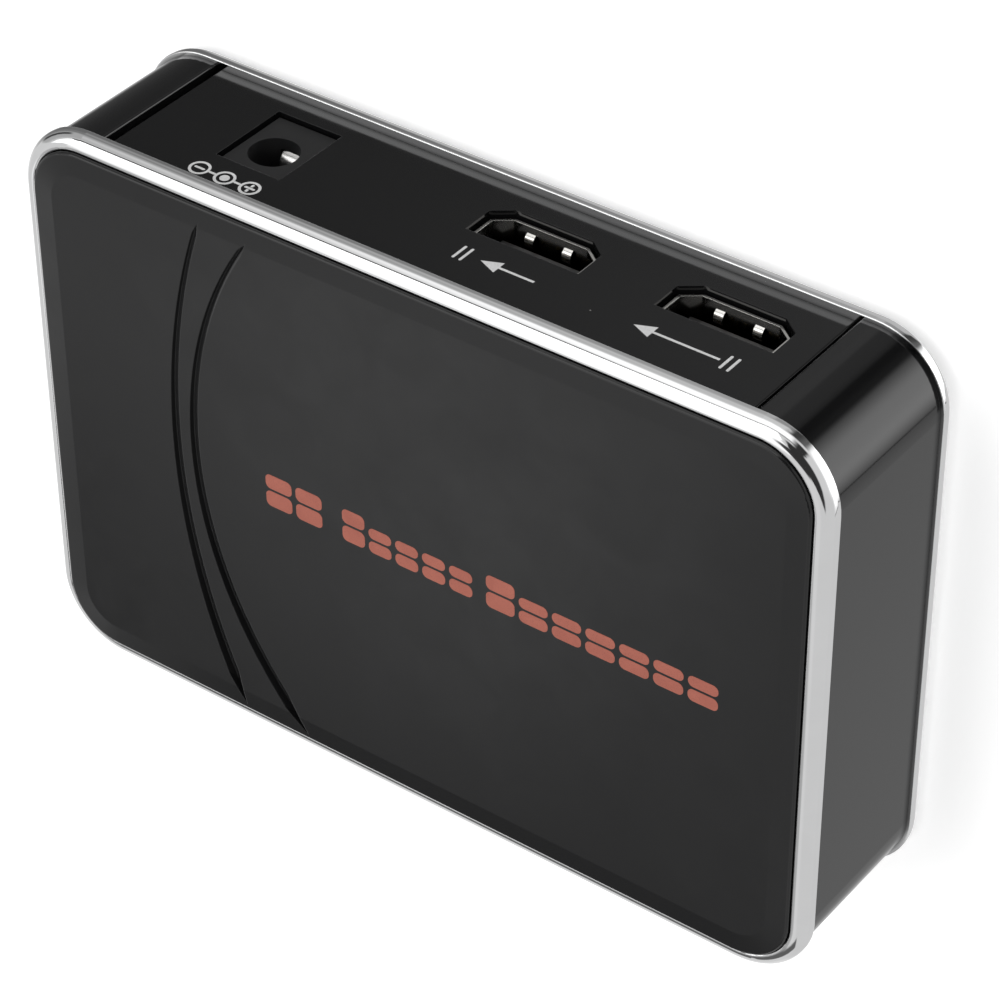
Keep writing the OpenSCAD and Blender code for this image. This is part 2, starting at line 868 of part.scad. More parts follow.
module front_panel() {
  color([0.12, 0.12, 0.13])
    difference() {
      rotate([0, 0, 180])
        panel_blank();
      on_front(drive_x)
        panel_opening()
          translate([-drive_width / 2 - opening_clearance, drive_lift - opening_clearance])
            square([drive_width + 2 * opening_clearance, drive_height + 2 * opening_clearance]);
      on_front(mic_x)
        bar_y(mic_ring_radius + pass_clearance, -panel_thickness - cut, cut, mic_axis);
      on_front(button_x)
        bar_y(button_radius + button_clearance, -panel_thickness - cut, cut, button_axis);
      at_lamps()
        bar_y(pipe_radius + pipe_clearance, -panel_thickness - cut, cut, button_axis);
    }
}

// The two places of the status lamps, level with the button
module at_lamps() {
  for (i = [0, 1])
    on_front(button_x - lamp_offset - i * lamp_pitch)
      children();
}

// A foot turned about its axis: a glued disc with a rounded rim
module rubber_feet() {
  color([0.07, 0.07, 0.07])
    at_feet()
      rotate_extrude() {
        square([foot_radius - foot_height / 2, foot_height + foot_recess]);
        translate([0, foot_height / 2])
          square([foot_radius, foot_height / 2 + foot_recess]);
        translate([foot_radius - foot_height / 2, foot_height / 2])
          circle(r = foot_height / 2);
      }
}

// A cross-head screw pointing up, with its head's seat at height 0
module screw(radius, length, head_radius, head_height) {
  slot = radius / 2;
  difference() {
    union() {
      cylinder(r = radius, h = length);
      translate([0, 0, -head_height])
        cylinder(r = head_radius, h = head_height);
    }
    for (turn = [0, 90])
      rotate([0, 0, turn])
        translate([-head_radius * 0.6, -slot / 2, -head_height - cut])
          cube([head_radius * 1.2, slot, head_height / 2 + cut]);
  }
}

module case_screws() {
  color([0.5, 0.5, 0.52])
    at_corners()
      translate([0, 0, well_top_z])
        screw(screw_radius, screw_length, screw_head_radius, screw_head_height);
}

module board_screws() {
  color([0.6, 0.6, 0.62])
    at_board_screws()
      translate([0, 0, board_top_z])
        mirror([0, 0, 1])
          screw(board_screw_radius, board_screw_length, board_screw_head_radius, board_screw_head_height);
}

// The slots that the sockets' legs and the power jack's tails pass through
module board_slots() {
  leg_gap = 2 * leg_clearance;
  slot_low = -board_thickness - cut;
  for (x = [video_in_x, video_out_x])
    on_rear(x)
      at_legs(video_width, video_recess)
        block(sheet + leg_gap, -leg_depth - leg_clearance, leg_clearance, slot_low, cut);
  on_front(drive_x)
    at_legs(drive_width, drive_recess)
      block(sheet + leg_gap, -leg_depth - leg_clearance, leg_clearance, slot_low, cut);
  on_rear(power_x) {
    translate([0, -jack_recess - jack_length, 0])
      block(2 * jack_pin_radius + leg_gap, -sheet - leg_clearance, leg_clearance, slot_low, cut);
    translate([0, -jack_recess - jack_bore_depth, 0])
      block(jack_spring_width + leg_gap, -leg_clearance, sheet + leg_clearance, slot_low, cut);
  }
}

module main_board() {
  color([0.05, 0.3, 0.12])
    difference() {
      translate([-board_half, -board_edge_y, board_bottom_z])
        cube([2 * board_half, 2 * board_edge_y, board_thickness]);
      at_board_screws()
        translate([0, 0, board_bottom_z - cut])
          cylinder(r = board_screw_radius + pass_clearance, h = board_thickness + 2 * cut);
      board_slots();
    }
}

// Outline of a video socket, offset inwards by a distance: a wide side above slanted flanks
module video_outline(inward) {
  slant = atan2(video_flank, (video_width - video_narrow) / 2);
  half = video_width / 2 - inward;
  narrow = video_narrow / 2 - inward * tan(slant / 2);
  flank = video_flank + inward * tan((90 - slant) / 2);
  polygon([
    [-half, video_height - inward],
    [-half, flank],
    [-narrow, inward],
    [narrow, inward],
    [half, flank],
    [half, video_height - inward]
  ]);
}

// A bar of a video socket's outline, from its front edge back along -Y
module video_bar(inward, from_y, to_y) {
  translate([0, to_y, 0])
    rotate([90, 0, 0])
      linear_extrude(to_y - from_y)
        video_outline(inward);
}

// The places of a shell's four legs, two on each side
module at_legs(width, recess) {
  for (side = [-1, 1], place = [front_leg_setback, rear_leg_setback])
    translate([side * (width - sheet) / 2, -recess - place, 0])
      children();
}

// A spring contact's bump, standing on the inner face of a shell's lower wall
module spring_bump() {
  intersection() {
    translate([0, 0, sheet + spring_rise - spring_radius])
      rotate([0, 90, 0])
        cylinder(r = spring_radius, h = spring_width, center = true);
    block(spring_width, -spring_radius, spring_radius, sheet / 2, 2 * spring_radius);
  }
}

module video_shell() {
  color([0.75, 0.75, 0.76]) {
    translate([0, -video_recess, video_lift]) {
      difference() {
        video_bar(0, -video_length, 0);
        video_bar(sheet, -video_length - cut, cut);
        block(shell_joint, -shell_joint_depth, cut, video_height - 2 * sheet, video_height + cut);
      }
      for (side = [-1, 1])
        translate([side * spring_spacing / 2, -spring_setback, 0])
          spring_bump();
    }
    at_legs(video_width, video_recess)
      block(sheet, -leg_depth, 0, -leg_tip, video_lift + video_height / 2);
  }
}

// The moulded insert: a back wall inside the shell, a foot behind it and the tongue
module video_insert() {
  tongue_low = (video_height - tongue_thickness) / 2;
  color([0.08, 0.08, 0.08])
    translate([0, -video_recess, video_lift]) {
      video_bar(sheet, -video_length, insert_back - video_length);
      block(video_narrow, -video_length - insert_foot, -video_length, -video_lift, video_height - sheet);
      block(video_tongue_width, -video_length, -tongue_setback, tongue_low, tongue_low + tongue_thickness);
    }
}

// Contacts on both faces of the tongue, and their tails on the board behind the socket
module video_contacts() {
  rows = [[10, 1], [9, -1]];
  contact_back = insert_back - video_length;
  contact_front = -tongue_setback - contact_width;
  tail_front = -video_length - insert_foot;
  color([0.85, 0.7, 0.35])
    translate([0, -video_recess, video_lift])
      for (row = rows, i = [0:row[0] - 1]) {
        face = video_height / 2 + row[1] * tongue_thickness / 2;
        low = min(face, face + row[1] * contact_thickness);
        translate([(i - (row[0] - 1) / 2) * contact_pitch, 0, 0]) {
          block(contact_width, contact_back, contact_front, low, low + contact_thickness);
          block(contact_width / 2, tail_front - tail_length, tail_front, -video_lift, solder - video_lift);
        }
      }
}

module video_in_shell() { on_rear(video_in_x) video_shell(); }

module video_in_insert() { on_rear(video_in_x) video_insert(); }

module video_in_contacts() { on_rear(video_in_x) video_contacts(); }

module video_out_shell() { on_rear(video_out_x) video_shell(); }

module video_out_insert() { on_rear(video_out_x) video_insert(); }

module video_out_contacts() { on_rear(video_out_x) video_contacts(); }

module power_jack_body() {
  slot_width = jack_spring_width + 2 * leg_clearance;
  tail_room = sheet + 2 * leg_clearance;
  color([0.1, 0.1, 0.1])
    on_rear(power_x)
      translate([0, -jack_recess, 0])
        difference() {
          union() {
            block(jack_width, -jack_collar, 0, 0, jack_height);
            block(jack_width, -jack_length, -jack_collar, 0, jack_axis);
            bar_y(jack_width / 2, -jack_length, -jack_collar, jack_axis);
          }
          bar_y(jack_bore_radius, -jack_bore_depth, cut, jack_axis);
          bar_y(jack_pin_radius + grip_clearance, -jack_length - cut, -jack_bore_depth + cut, jack_axis);
          block(slot_width, -jack_bore_depth, -jack_slot_setback, jack_axis / 4, jack_axis);
          block(slot_width, -jack_bore_depth, tail_room - jack_bore_depth, -cut, jack_axis / 2);
        }
}

// The centre pin with its round tip, and the tail behind the body that goes down through the board
module power_jack_pin() {
  color([0.8, 0.8, 0.8])
    on_rear(power_x)
      translate([0, -jack_recess, 0]) {
        bar_y(jack_pin_radius, -jack_length - sheet, -jack_pin_setback - jack_pin_radius, jack_axis);
        translate([0, -jack_pin_setback - jack_pin_radius, jack_axis])
          sphere(r = jack_pin_radius);
        block(2 * jack_pin_radius, -jack_length - sheet, -jack_length, -leg_tip, jack_axis);
      }
}

// A leaf that bulges up into the bore behind its mouth, with a tail that goes down through the board
module power_jack_spring() {
  crown = jack_axis - jack_bore_radius + leaf_rise;
  low = crown - leaf_drop;
  half = sqrt(leaf_bow * leaf_bow - (leaf_bow - leaf_drop) * (leaf_bow - leaf_drop));
  back = -jack_bore_depth;
  middle = -jack_slot_setback - leg_clearance - half;
  color([0.85, 0.85, 0.85])
    on_rear(power_x)
      translate([0, -jack_recess, 0]) {
        translate([-jack_spring_width / 2, 0, 0])
          rotate([90, 0, 90])
            linear_extrude(jack_spring_width)
              intersection() {
                translate([middle, crown - leaf_bow])
                  difference() {
                    circle(r = leaf_bow);
                    circle(r = leaf_bow - sheet);
                  }
                translate([middle - half, low])
                  square([2 * half, leaf_drop]);
              }
        block(jack_spring_width, back, middle - half + sheet, low, low + sheet);
        block(jack_spring_width, back, back + sheet, -leg_tip, low + sheet);
      }
}

module drive_socket_shell() {
  color([0.75, 0.75, 0.76])
    on_front(drive_x) {
      translate([0, -drive_recess, drive_lift])
        difference() {
          block(drive_width, -drive_length, 0, 0, drive_height);
          block(drive_width - 2 * sheet, -drive_length - cut, cut, sheet, drive_height - sheet);
        }
      for (side = [-1, 1])
        translate([side * drive_width / 4, -drive_recess - spring_setback, drive_lift])
          spring_bump();
      at_legs(drive_width, drive_recess)
        block(sheet, -leg_depth, 0, -leg_tip, drive_lift + drive_height / 2);
    }
}

module drive_socket_insert() {
  foot_width = drive_width - 2 * drive_foot_margin;
  foot_back = -drive_length - drive_foot;
  tongue_low = drive_height / 2;
  color([0.92, 0.92, 0.9])
    on_front(drive_x)
      translate([0, -drive_recess, drive_lift]) {
        block(drive_width - 2 * sheet, -drive_length, drive_back - drive_length, sheet, drive_height - sheet);
        block(foot_width, foot_back, -drive_length, -drive_lift, drive_height - sheet);
        block(drive_tongue_width, -drive_length, -tongue_setback, tongue_low, tongue_low + tongue_thickness);
      }
}

module drive_socket_contacts() {
  count = 4;
  face = drive_height / 2;
  contact_back = drive_back - drive_length;
  contact_front = -tongue_setback - contact_width;
  tail_front = -drive_length - drive_foot;
  tail_back = tail_front - tail_length;
  color([0.85, 0.7, 0.35])
    on_front(drive_x)
      translate([0, -drive_recess, drive_lift])
        for (i = [0:count - 1])
          translate([(i - (count - 1) / 2) * drive_contact_pitch, 0, 0]) {
            block(drive_contact_width, contact_back, contact_front, face - solder, face);
            block(drive_contact_width, tail_back, tail_front, -drive_lift, solder - drive_lift);
          }
}

module microphone_jack_body() {
  front = -panel_thickness - board_gap / 2;
  color([0.1, 0.1, 0.1])
    on_front(mic_x)
      difference() {
        union() {
          block(mic_width, front - mic_length, front, 0, mic_height);
          bar_y(mic_nose_radius, front - cut, -mic_recess, mic_axis);
          bar_y(mic_ring_radius, front - cut, -mic_recess - mic_ring_length, mic_axis);
        }
        bar_y(mic_bore_radius, -mic_recess - mic_bore_depth, cut, mic_axis);
      }
}

module microphone_jack_ring() {
  color([0.8, 0.8, 0.8])
    on_front(mic_x)
      difference() {
        bar_y(mic_ring_radius, -mic_recess - mic_ring_length, -mic_recess, mic_axis);
        bar_y(mic_nose_radius + grip_clearance, -mic_recess - mic_ring_length - cut, cut, mic_axis);
      }
}

// Soldered contacts at the foot of the microphone jack's sides
module microphone_jack_contacts() {
  front = -panel_thickness - board_gap / 2;
  color([0.8, 0.8, 0.8])
    on_front(mic_x)
      for (side = [-1, 1], place = [mic_front_setback, mic_rear_setback])
        translate([side * (mic_width + mic_contact_length) / 2, front - place, 0])
          block(mic_contact_length, -mic_contact_length, 0, 0, solder);
}

module record_button() {
  dish = button_radius - 2 * button_rim;
  dish_centre = button_proud + sqrt(button_dish_radius * button_dish_radius - dish * dish);
  color([0.75, 0.08, 0.08])
    on_front(button_x)
      difference() {
        union() {
          bar_y(button_radius, flange_back, button_proud - button_rim, button_axis);
          bar_y(button_radius - button_rim, flange_back, button_proud, button_axis);
          translate([0, button_proud - button_rim, button_axis])
            rotate([-90, 0, 0])
              rotate_extrude()
                translate([button_radius - button_rim, 0])
                  circle(r = button_rim);
          bar_y(button_radius + button_flange, flange_back, flange_front, button_axis);
          bar_y(plunger_radius, plunger_front, flange_back, button_axis);
        }
        translate([0, dish_centre, button_axis])
          sphere(r = button_dish_radius);
      }
}

module switch_body() {
  hole_depth = plunger_depth + button_travel + 2 * stem_gap;
  collar_back = switch_front - switch_collar;
  collar_front = switch_front + switch_collar;
  color([0.15, 0.15, 0.16])
    on_front(button_x)
      difference() {
        union() {
          block(switch_width, switch_front - switch_depth, switch_front, 0, switch_height);
          bar_y(switch_width / 2 - switch_collar, collar_back, collar_front, button_axis);
        }
        bar_y(plunger_radius + plunger_clearance, switch_front - hole_depth, switch_front + cut, button_axis);
      }
}

module switch_plunger() {
  color([0.85, 0.85, 0.8])
    on_front(button_x)
      bar_y(plunger_radius, switch_front - plunger_depth, plunger_front - stem_gap, button_axis);
}

module status_lamps() {
  color([0.95, 0.95, 0.85])
    at_lamps()
      translate([0, -lamp_setback, 0])
        block(lamp_width, -lamp_depth / 2, lamp_depth / 2, 0, lamp_height);
}

// Bent light pipes that stand over the lamps and end in the front panel
module light_pipes() {
  foot = lamp_height + pipe_clearance;
  turn_z = button_axis - pipe_bend;
  color([0.9, 0.95, 1, 0.5])
    at_lamps() {
      translate([0, -lamp_setback, foot])
        cylinder(r = pipe_radius, h = turn_z - foot);
      translate([0, pipe_bend - lamp_setback, turn_z])
        rotate([90, 0, -90])
          rotate_extrude(angle = 90)
            translate([pipe_bend, 0])
              circle(r = pipe_radius);
      bar_y(pipe_radius, pipe_bend - lamp_setback, pipe_proud, button_axis);
      bar_y(pipe_radius + pipe_collar, -panel_thickness - pipe_collar, -panel_thickness, button_axis);
    }
}

// A place on the board's top
module on_board(place) {
  translate([place[0], place[1], board_top_z])
    children();
}

module chip_block(size) {
  translate([-size[0] / 2, -size[1] / 2, 0])
    cube(size);
}

module video_processor() {
  color([0.08, 0.08, 0.08])
    on_board(processor_place)
      chip_block([processor_width, processor_width, processor_height]);
}

module thermal_pad() {
  color([0.6, 0.65, 0.7])
    on_board(processor_place)
      translate([0, 0, processor_height])
        chip_block([processor_width, processor_width, pad_thickness]);
}

module heat_sink() {
  pitch = (sink_width - fin_thickness) / (fin_count - 1);
  color([0.7, 0.7, 0.72])
    on_board(processor_place)
      translate([0, 0, processor_height + pad_thickness]) {
        chip_block([sink_width, sink_width, sink_base]);
        for (i = [0:fin_count - 1])
          translate([i * pitch - (sink_width - fin_thickness) / 2, 0, sink_base / 2])
            chip_block([fin_thickness, sink_width, sink_base / 2 + fin_height]);
      }
}

// Bent leads along the four sides of a chip, as many as its width takes
module chip_leads(width, pitch) {
  count = floor((width - pitch) / pitch);
  for (turn = [0, 90, 180, 270], i = [0:count - 1])
    rotate([0, 0, turn])
      translate([(i - (count - 1) / 2) * pitch - lead_width / 2, width / 2, 0]) {
        translate([0, -lead_width, chip_height / 2])
          cube([lead_width, 2 * lead_width, solder]);
        translate([0, lead_width - solder, 0])
          cube([lead_width, solder, chip_height / 2 + solder]);
        translate([0, lead_width - solder, 0])
          cube([lead_width, lead_length, solder]);
      }
}

// A flat chip on bent leads
module leaded_chip(width) {
  color([0.08, 0.08, 0.08]) {
    translate([0, 0, solder])
      chip_block([width, width, chip_height - solder]);
    chip_leads(width, lead_pitch);
  }
}

module receiver_chip() {
  on_board(receiver_place)
    leaded_chip(receiver_width);
}

module transmitter_chip() {
  on_board(transmitter_place)
    leaded_chip(transmitter_width);
}

module memory_chips() {
  color([0.08, 0.08, 0.08])
    for (place = memory_places)
      on_board(place)
        chip_block([memory_length, memory_width, memory_height]);
}

module flash_chip() {
  color([0.08, 0.08, 0.08])
    on_board(flash_place) {
      chip_block([flash_length, flash_width, flash_height]);
      for (side = [-1, 1], i = [0:3])
        translate([(i - 1.5) * flash_length / 4, side * flash_width / 2, 0])
          chip_block([lead_width, 2 * lead_length, solder]);
    }
}

// Metal cans with round ends
module crystals() {
  run = (crystal_length - crystal_width) / 2;
  color([0.75, 0.75, 0.76])
    for (place = crystal_places)
      on_board(place) {
        chip_block([2 * run, crystal_width, crystal_height]);
        for (side = [-1, 1])
          translate([side * run, 0, 0])
            cylinder(d = crystal_width, h = crystal_height);
      }
}

// Aluminium cans, each on a square base
module can_capacitors() {
  color([0.72, 0.72, 0.74])
    for (place = can_places)
      on_board(place) {
        chip_block([2 * can_radius, 2 * can_radius, can_base]);
        cylinder(r = can_radius, h = can_height);
      }
}

// Square shielded coils with a round core
module power_inductors() {
  color([0.25, 0.25, 0.26])
    for (place = inductor_places)
      on_board(place)
        difference() {
          chip_block([inductor_width, inductor_width, inductor_height]);
          translate([0, 0, inductor_height - solder])
            difference() {
              cylinder(d = inductor_width - 2 * coil_groove, h = cut);
              cylinder(d = inductor_width - 4 * coil_groove, h = cut);
            }
        }
}

module voltage_regulator() {
  color([0.08, 0.08, 0.08])
    on_board(regulator_place) {
      chip_block([regulator_length, regulator_width, regulator_height]);
      for (i = [-1:1])
        translate([i * regulator_length / 3, -regulator_width / 2, 0])
          chip_block([2 * lead_width, 2 * lead_length, solder]);
      translate([0, regulator_width / 2, 0])
        chip_block([regulator_length / 2, 2 * lead_length, solder]);
    }
}

// Rows of small soldered resistors and capacitors
module chip_parts() {
  color([0.7, 0.6, 0.45])
    for (row = chip_part_rows, i = [0:row[2] - 1])
      on_board([row[0] + i * chip_part_pitch, row[1]])
        chip_block([chip_part_length, chip_part_width, chip_part_height]);
}

top_cover();
top_trim_ring();
bottom_shell();
bottom_trim_ring();
rear_panel();
front_panel();
rubber_feet();
case_screws();
main_board();
board_screws();
video_in_shell();
video_in_insert();
video_in_contacts();
video_out_shell();
video_out_insert();
video_out_contacts();
power_jack_body();
power_jack_pin();
power_jack_spring();
drive_socket_shell();
drive_socket_insert();
drive_socket_contacts();
microphone_jack_body();
microphone_jack_ring();
microphone_jack_contacts();
record_button();
switch_body();
switch_plunger();
light_pipes();
status_lamps();
video_processor();
thermal_pad();
heat_sink();
receiver_chip();
transmitter_chip();
memory_chips();
flash_chip();
crystals();
can_capacitors();
power_inductors();
voltage_regulator();
chip_parts();
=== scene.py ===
import math

import bmesh
import bpy
from mathutils import Matrix, Vector


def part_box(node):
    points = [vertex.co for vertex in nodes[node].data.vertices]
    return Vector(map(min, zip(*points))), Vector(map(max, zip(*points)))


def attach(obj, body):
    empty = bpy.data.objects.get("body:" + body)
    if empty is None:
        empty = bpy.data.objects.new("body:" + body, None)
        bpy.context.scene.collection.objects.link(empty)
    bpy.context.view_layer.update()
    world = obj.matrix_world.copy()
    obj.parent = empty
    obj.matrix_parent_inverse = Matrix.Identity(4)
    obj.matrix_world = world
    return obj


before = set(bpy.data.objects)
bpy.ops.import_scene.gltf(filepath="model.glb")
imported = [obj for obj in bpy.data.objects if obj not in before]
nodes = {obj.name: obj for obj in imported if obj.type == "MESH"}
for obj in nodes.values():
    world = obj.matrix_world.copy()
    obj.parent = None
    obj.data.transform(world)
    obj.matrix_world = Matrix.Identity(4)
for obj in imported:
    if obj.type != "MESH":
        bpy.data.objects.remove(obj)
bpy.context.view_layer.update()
mm = 0.001

scene = bpy.context.scene
scene.view_settings.view_transform = "Standard"


# Camera: the view of the photograph, which is turned about its own axis
photoView = {
    "stand": (0.21703, 0.27709, 0.30089),
    "aim": (0.004415, 0.001592, 0.014),
    "roll": -129.8136,
    "lens": 134.6146,
    "sensor": 36,
}


def addCamera(view):
    data = bpy.data.cameras.new("photoCamera")
    data.lens = view["lens"]
    data.sensor_width = view["sensor"]
    camera = bpy.data.objects.new("photoCamera", data)
    stand = Vector(view["stand"])
    upright = (stand - Vector(view["aim"])).to_track_quat("Z", "Y").to_matrix()
    turned = upright @ Matrix.Rotation(math.radians(view["roll"]), 3, "Z")
    camera.matrix_world = Matrix.Translation(stand) @ turned.to_4x4()
    scene.collection.objects.link(camera)
    scene.camera = camera


addCamera(photoView)
print("camera placed")


# Small helpers for node trees
def put(tree, kind, sockets=None, **settings):
    node = tree.nodes.new("ShaderNode" + kind)
    for key, value in settings.items():
        setattr(node, key, value)
    for key, value in (sockets or {}).items():
        if isinstance(value, bpy.types.NodeSocket):
            tree.links.new(value, node.inputs[key])
        else:
            node.inputs[key].default_value = value
    return node


def calc(tree, operation, first, second=0.0, clamp=False):
    return put(tree, "Math", {0: first, 1: second}, operation=operation, use_clamp=clamp).outputs[0]


def spread(tree, value, fromLow, fromHigh, toLow, toHigh, smooth=False):
    style = "SMOOTHSTEP" if smooth else "LINEAR"
    sockets = {0: value, 1: fromLow, 2: fromHigh, 3: toLow, 4: toHigh}
    return put(tree, "MapRange", sockets, interpolation_type=style).outputs[0]


def blendLevel(tree, mask, first, second):
    return put(tree, "Mix", {0: mask, 2: first, 3: second}).outputs[0]


def blendColour(tree, mask, first, second):
    # the colour sockets of a Mix node come after those for plain values and vectors
    node = put(tree, "Mix", data_type="RGBA")
    for socket, value in ((node.inputs[0], mask), (node.inputs[6], first), (node.inputs[7], second)):
        if isinstance(value, bpy.types.NodeSocket):
            tree.links.new(value, socket)
        elif isinstance(value, (int, float)):
            socket.default_value = value
        else:
            socket.default_value = (*value, 1)
    return node.outputs[2]


def newGroup(name, inputs, outputs):
    tree = bpy.data.node_groups.new(name, "ShaderNodeTree")
    for label, value in inputs.items():
        socket = tree.interface.new_socket(name=label, in_out="INPUT", socket_type="NodeSocketFloat")
        socket.default_value = value
    for label, kind in outputs.items():
        tree.interface.new_socket(name=label, in_out="OUTPUT", socket_type="NodeSocket" + kind)
    return tree, tree.nodes.new("NodeGroupInput"), tree.nodes.new("NodeGroupOutput")


def useGroup(tree, group, values):
    node = tree.nodes.new("ShaderNodeGroup")
    node.node_tree = group
    for label, value in values.items():
        node.inputs[label].default_value = value
    return node


# Shared effects, as node groups. Sizes go in as millimetres.
noiseBand = (0.3, 0.7)  # most values of a noise texture lie between these
edgeRub = {"turned": (0.99, 0.8), "noise": 700.0, "band": 0.2, "samples": 6}


def objectPoint(tree):
    return put(tree, "TexCoord").outputs["Object"]


def perMetre(tree, size):
    return calc(tree, "DIVIDE", 1 / mm, size)


def makeGrain():
    # fine moulded texture, and a slow mottle that follows how the piece was handled
    tree, given, out = newGroup("grain", {"Grain": 0.1, "Patch": 9.0}, {"Height": "Float", "Patch": "Float"})
    point = objectPoint(tree)
    fine = put(tree, "TexNoise", {"Vector": point, "Detail": 3.0, "Roughness": 0.6,
                                  "Scale": perMetre(tree, given.outputs["Grain"])})
    patch = put(tree, "TexNoise", {"Vector": point, "Detail": 4.0, "Roughness": 0.55, "Distortion": 0.6,
                                   "Scale": perMetre(tree, given.outputs["Patch"])})
    tree.links.new(fine.outputs["Fac"], out.inputs["Height"])
    tree.links.new(spread(tree, patch.outputs["Fac"], *noiseBand, 0.0, 1.0), out.inputs["Patch"])
    return tree


def makeSoftEdge():
    # a small radius on each edge, and a mask of where it lies
    outputs = {"Normal": "Vector", "Edge": "Float"}
    tree, given, out = newGroup("softEdge", {"Radius": 0.12, "Break": 0.5}, outputs)
    radius = calc(tree, "MULTIPLY", given.outputs["Radius"], mm)
    rounded = put(tree, "Bevel", {"Radius": radius}, samples=edgeRub["samples"]).outputs["Normal"]
    true = put(tree, "NewGeometry").outputs["Normal"]
    dot = put(tree, "VectorMath", {0: rounded, 1: true}, operation="DOT_PRODUCT").outputs["Value"]
    bare = spread(tree, dot, *edgeRub["turned"], 0.0, 1.0)
    rub = put(tree, "TexNoise", {"Vector": objectPoint(tree), "Scale": edgeRub["noise"], "Detail": 4.0})
    full = calc(tree, "ADD", given.outputs["Break"], edgeRub["band"])
    kept = spread(tree, rub.outputs["Fac"], given.outputs["Break"], full, 0.0, 1.0)
    tree.links.new(rounded, out.inputs["Normal"])
    tree.links.new(calc(tree, "MULTIPLY", bare, kept, True), out.inputs["Edge"])
    return tree


def makeDust():
    # single specks, one in some of the cells
    tree, given, out = newGroup("dust", {"Cell": 3.0, "Share": 0.2, "Speck": 0.06}, {"Mask": "Float"})
    cells = put(tree, "TexVoronoi", {"Vector": objectPoint(tree), "Randomness": 1.0,
                                     "Scale": perMetre(tree, given.outputs["Cell"])})
    pick = put(tree, "SeparateColor", {0: cells.outputs["Color"]})
    taken = calc(tree, "LESS_THAN", pick.outputs[0], given.outputs["Share"])
    reach = calc(tree, "MULTIPLY", pick.outputs[1], given.outputs["Speck"])
    inside = calc(tree, "LESS_THAN", cells.outputs["Distance"], reach)
    tree.links.new(calc(tree, "MULTIPLY", taken, inside), out.inputs["Mask"])
    return tree


def makeBrushing():
    # fine lines along one axis, from rolling or drawing
    tree, given, out = newGroup("brushing", {"Line": 0.05, "Length": 4.0}, {"Line": "Float"})
    parts = put(tree, "SeparateXYZ", {0: objectPoint(tree)})
    across = perMetre(tree, given.outputs["Line"])
    along = perMetre(tree, given.outputs["Length"])
    lines = put(tree, "CombineXYZ", {0: calc(tree, "MULTIPLY", parts.outputs[0], across),
                                     1: calc(tree, "MULTIPLY", parts.outputs[1], along),
                                     2: calc(tree, "MULTIPLY", parts.outputs[2], across)})
    noise = put(tree, "TexNoise", {"Vector": lines.outputs[0], "Scale": 1.0, "Detail": 2.0})
    tree.links.new(noise.outputs["Fac"], out.inputs["Line"])
    return tree


def makeHollow():
    # how deep a point lies in a hollow, for dirt and shade
    tree, given, out = newGroup("hollow", {"Reach": 2.0}, {"Mask": "Float"})
    reach = calc(tree, "MULTIPLY", given.outputs["Reach"], mm)
    unblocked = put(tree, "AmbientOcclusion", {"Distance": reach}, samples=8).outputs["AO"]
    tree.links.new(calc(tree, "SUBTRACT", 1.0, unblocked, True), out.inputs["Mask"])
    return tree


grain = makeGrain()
softEdge = makeSoftEdge()
dust = makeDust()
brushing = makeBrushing()
hollow = makeHollow()
print("shared effects ready")


# Finishes
def newFinish(name, plain):
    material = bpy.data.materials.new(name)
    material.use_nodes = True
    tree = material.node_tree
    shader = tree.nodes["Principled BSDF"]
    for label, value in plain.items():
        shader.inputs[label].default_value = value
    return material, tree, shader


def feed(tree, shader, **sources):
    for label, value in sources.items():
        tree.links.new(value, shader.inputs[label.replace("_", " ")])


bumpStrength = 0.5


def roughNormal(tree, heights, rounded, depth):
    sockets = {"Height": heights, "Normal": rounded, "Strength": bumpStrength, "Distance": depth * mm}
    return put(tree, "Bump", sockets).outputs["Normal"]


def roughFrom(tree, noise, rough):
    return spread(tree, noise, *noiseBand, *rough)


# What a moulded piece has unless its own dictionary says otherwise
plasticUsual = {"gloss": 0.5, "patch": 9.0, "edge": 0.1, "keep": 0.45, "wear": 0.3,
                "wornColour": (0.06, 0.06, 0.062), "dustCell": 4.0, "dustShare": 0.1,
                "speck": 0.03, "dustColour": (0.3, 0.29, 0.28), "dustCover": 0.6, "dustRough": 0.3}


def mouldedPlastic(name, ownLook):
    look = {**plasticUsual, **ownLook}
    material, tree, shader = newFinish(name, {"Specular IOR Level": look["gloss"]})
    texture = useGroup(tree, grain, {"Grain": look["grain"], "Patch": look["patch"]})
    edge = useGroup(tree, softEdge, {"Radius": look["edge"], "Break": look["keep"]})
    cells = {"Cell": look["dustCell"], "Share": look["dustShare"], "Speck": look["speck"]}
    specks = useGroup(tree, dust, cells).outputs["Mask"]
    body = blendColour(tree, texture.outputs["Patch"], look["colour"], look["shade"])
    wear = calc(tree, "MULTIPLY", edge.outputs["Edge"], look["wear"])
    worn = blendColour(tree, wear, body, look["wornColour"])
    dusty = blendColour(tree, calc(tree, "MULTIPLY", specks, look["dustCover"]), worn, look["dustColour"])
    rough = spread(tree, texture.outputs["Patch"], 0.0, 1.0, *look["rough"])
    matted = calc(tree, "ADD", rough, calc(tree, "MULTIPLY", specks, look["dustRough"]), True)
    normal = roughNormal(tree, texture.outputs["Height"], edge.outputs["Normal"], look["depth"])
    feed(tree, shader, Base_Color=dusty, Roughness=matted, Normal=normal)
    return material


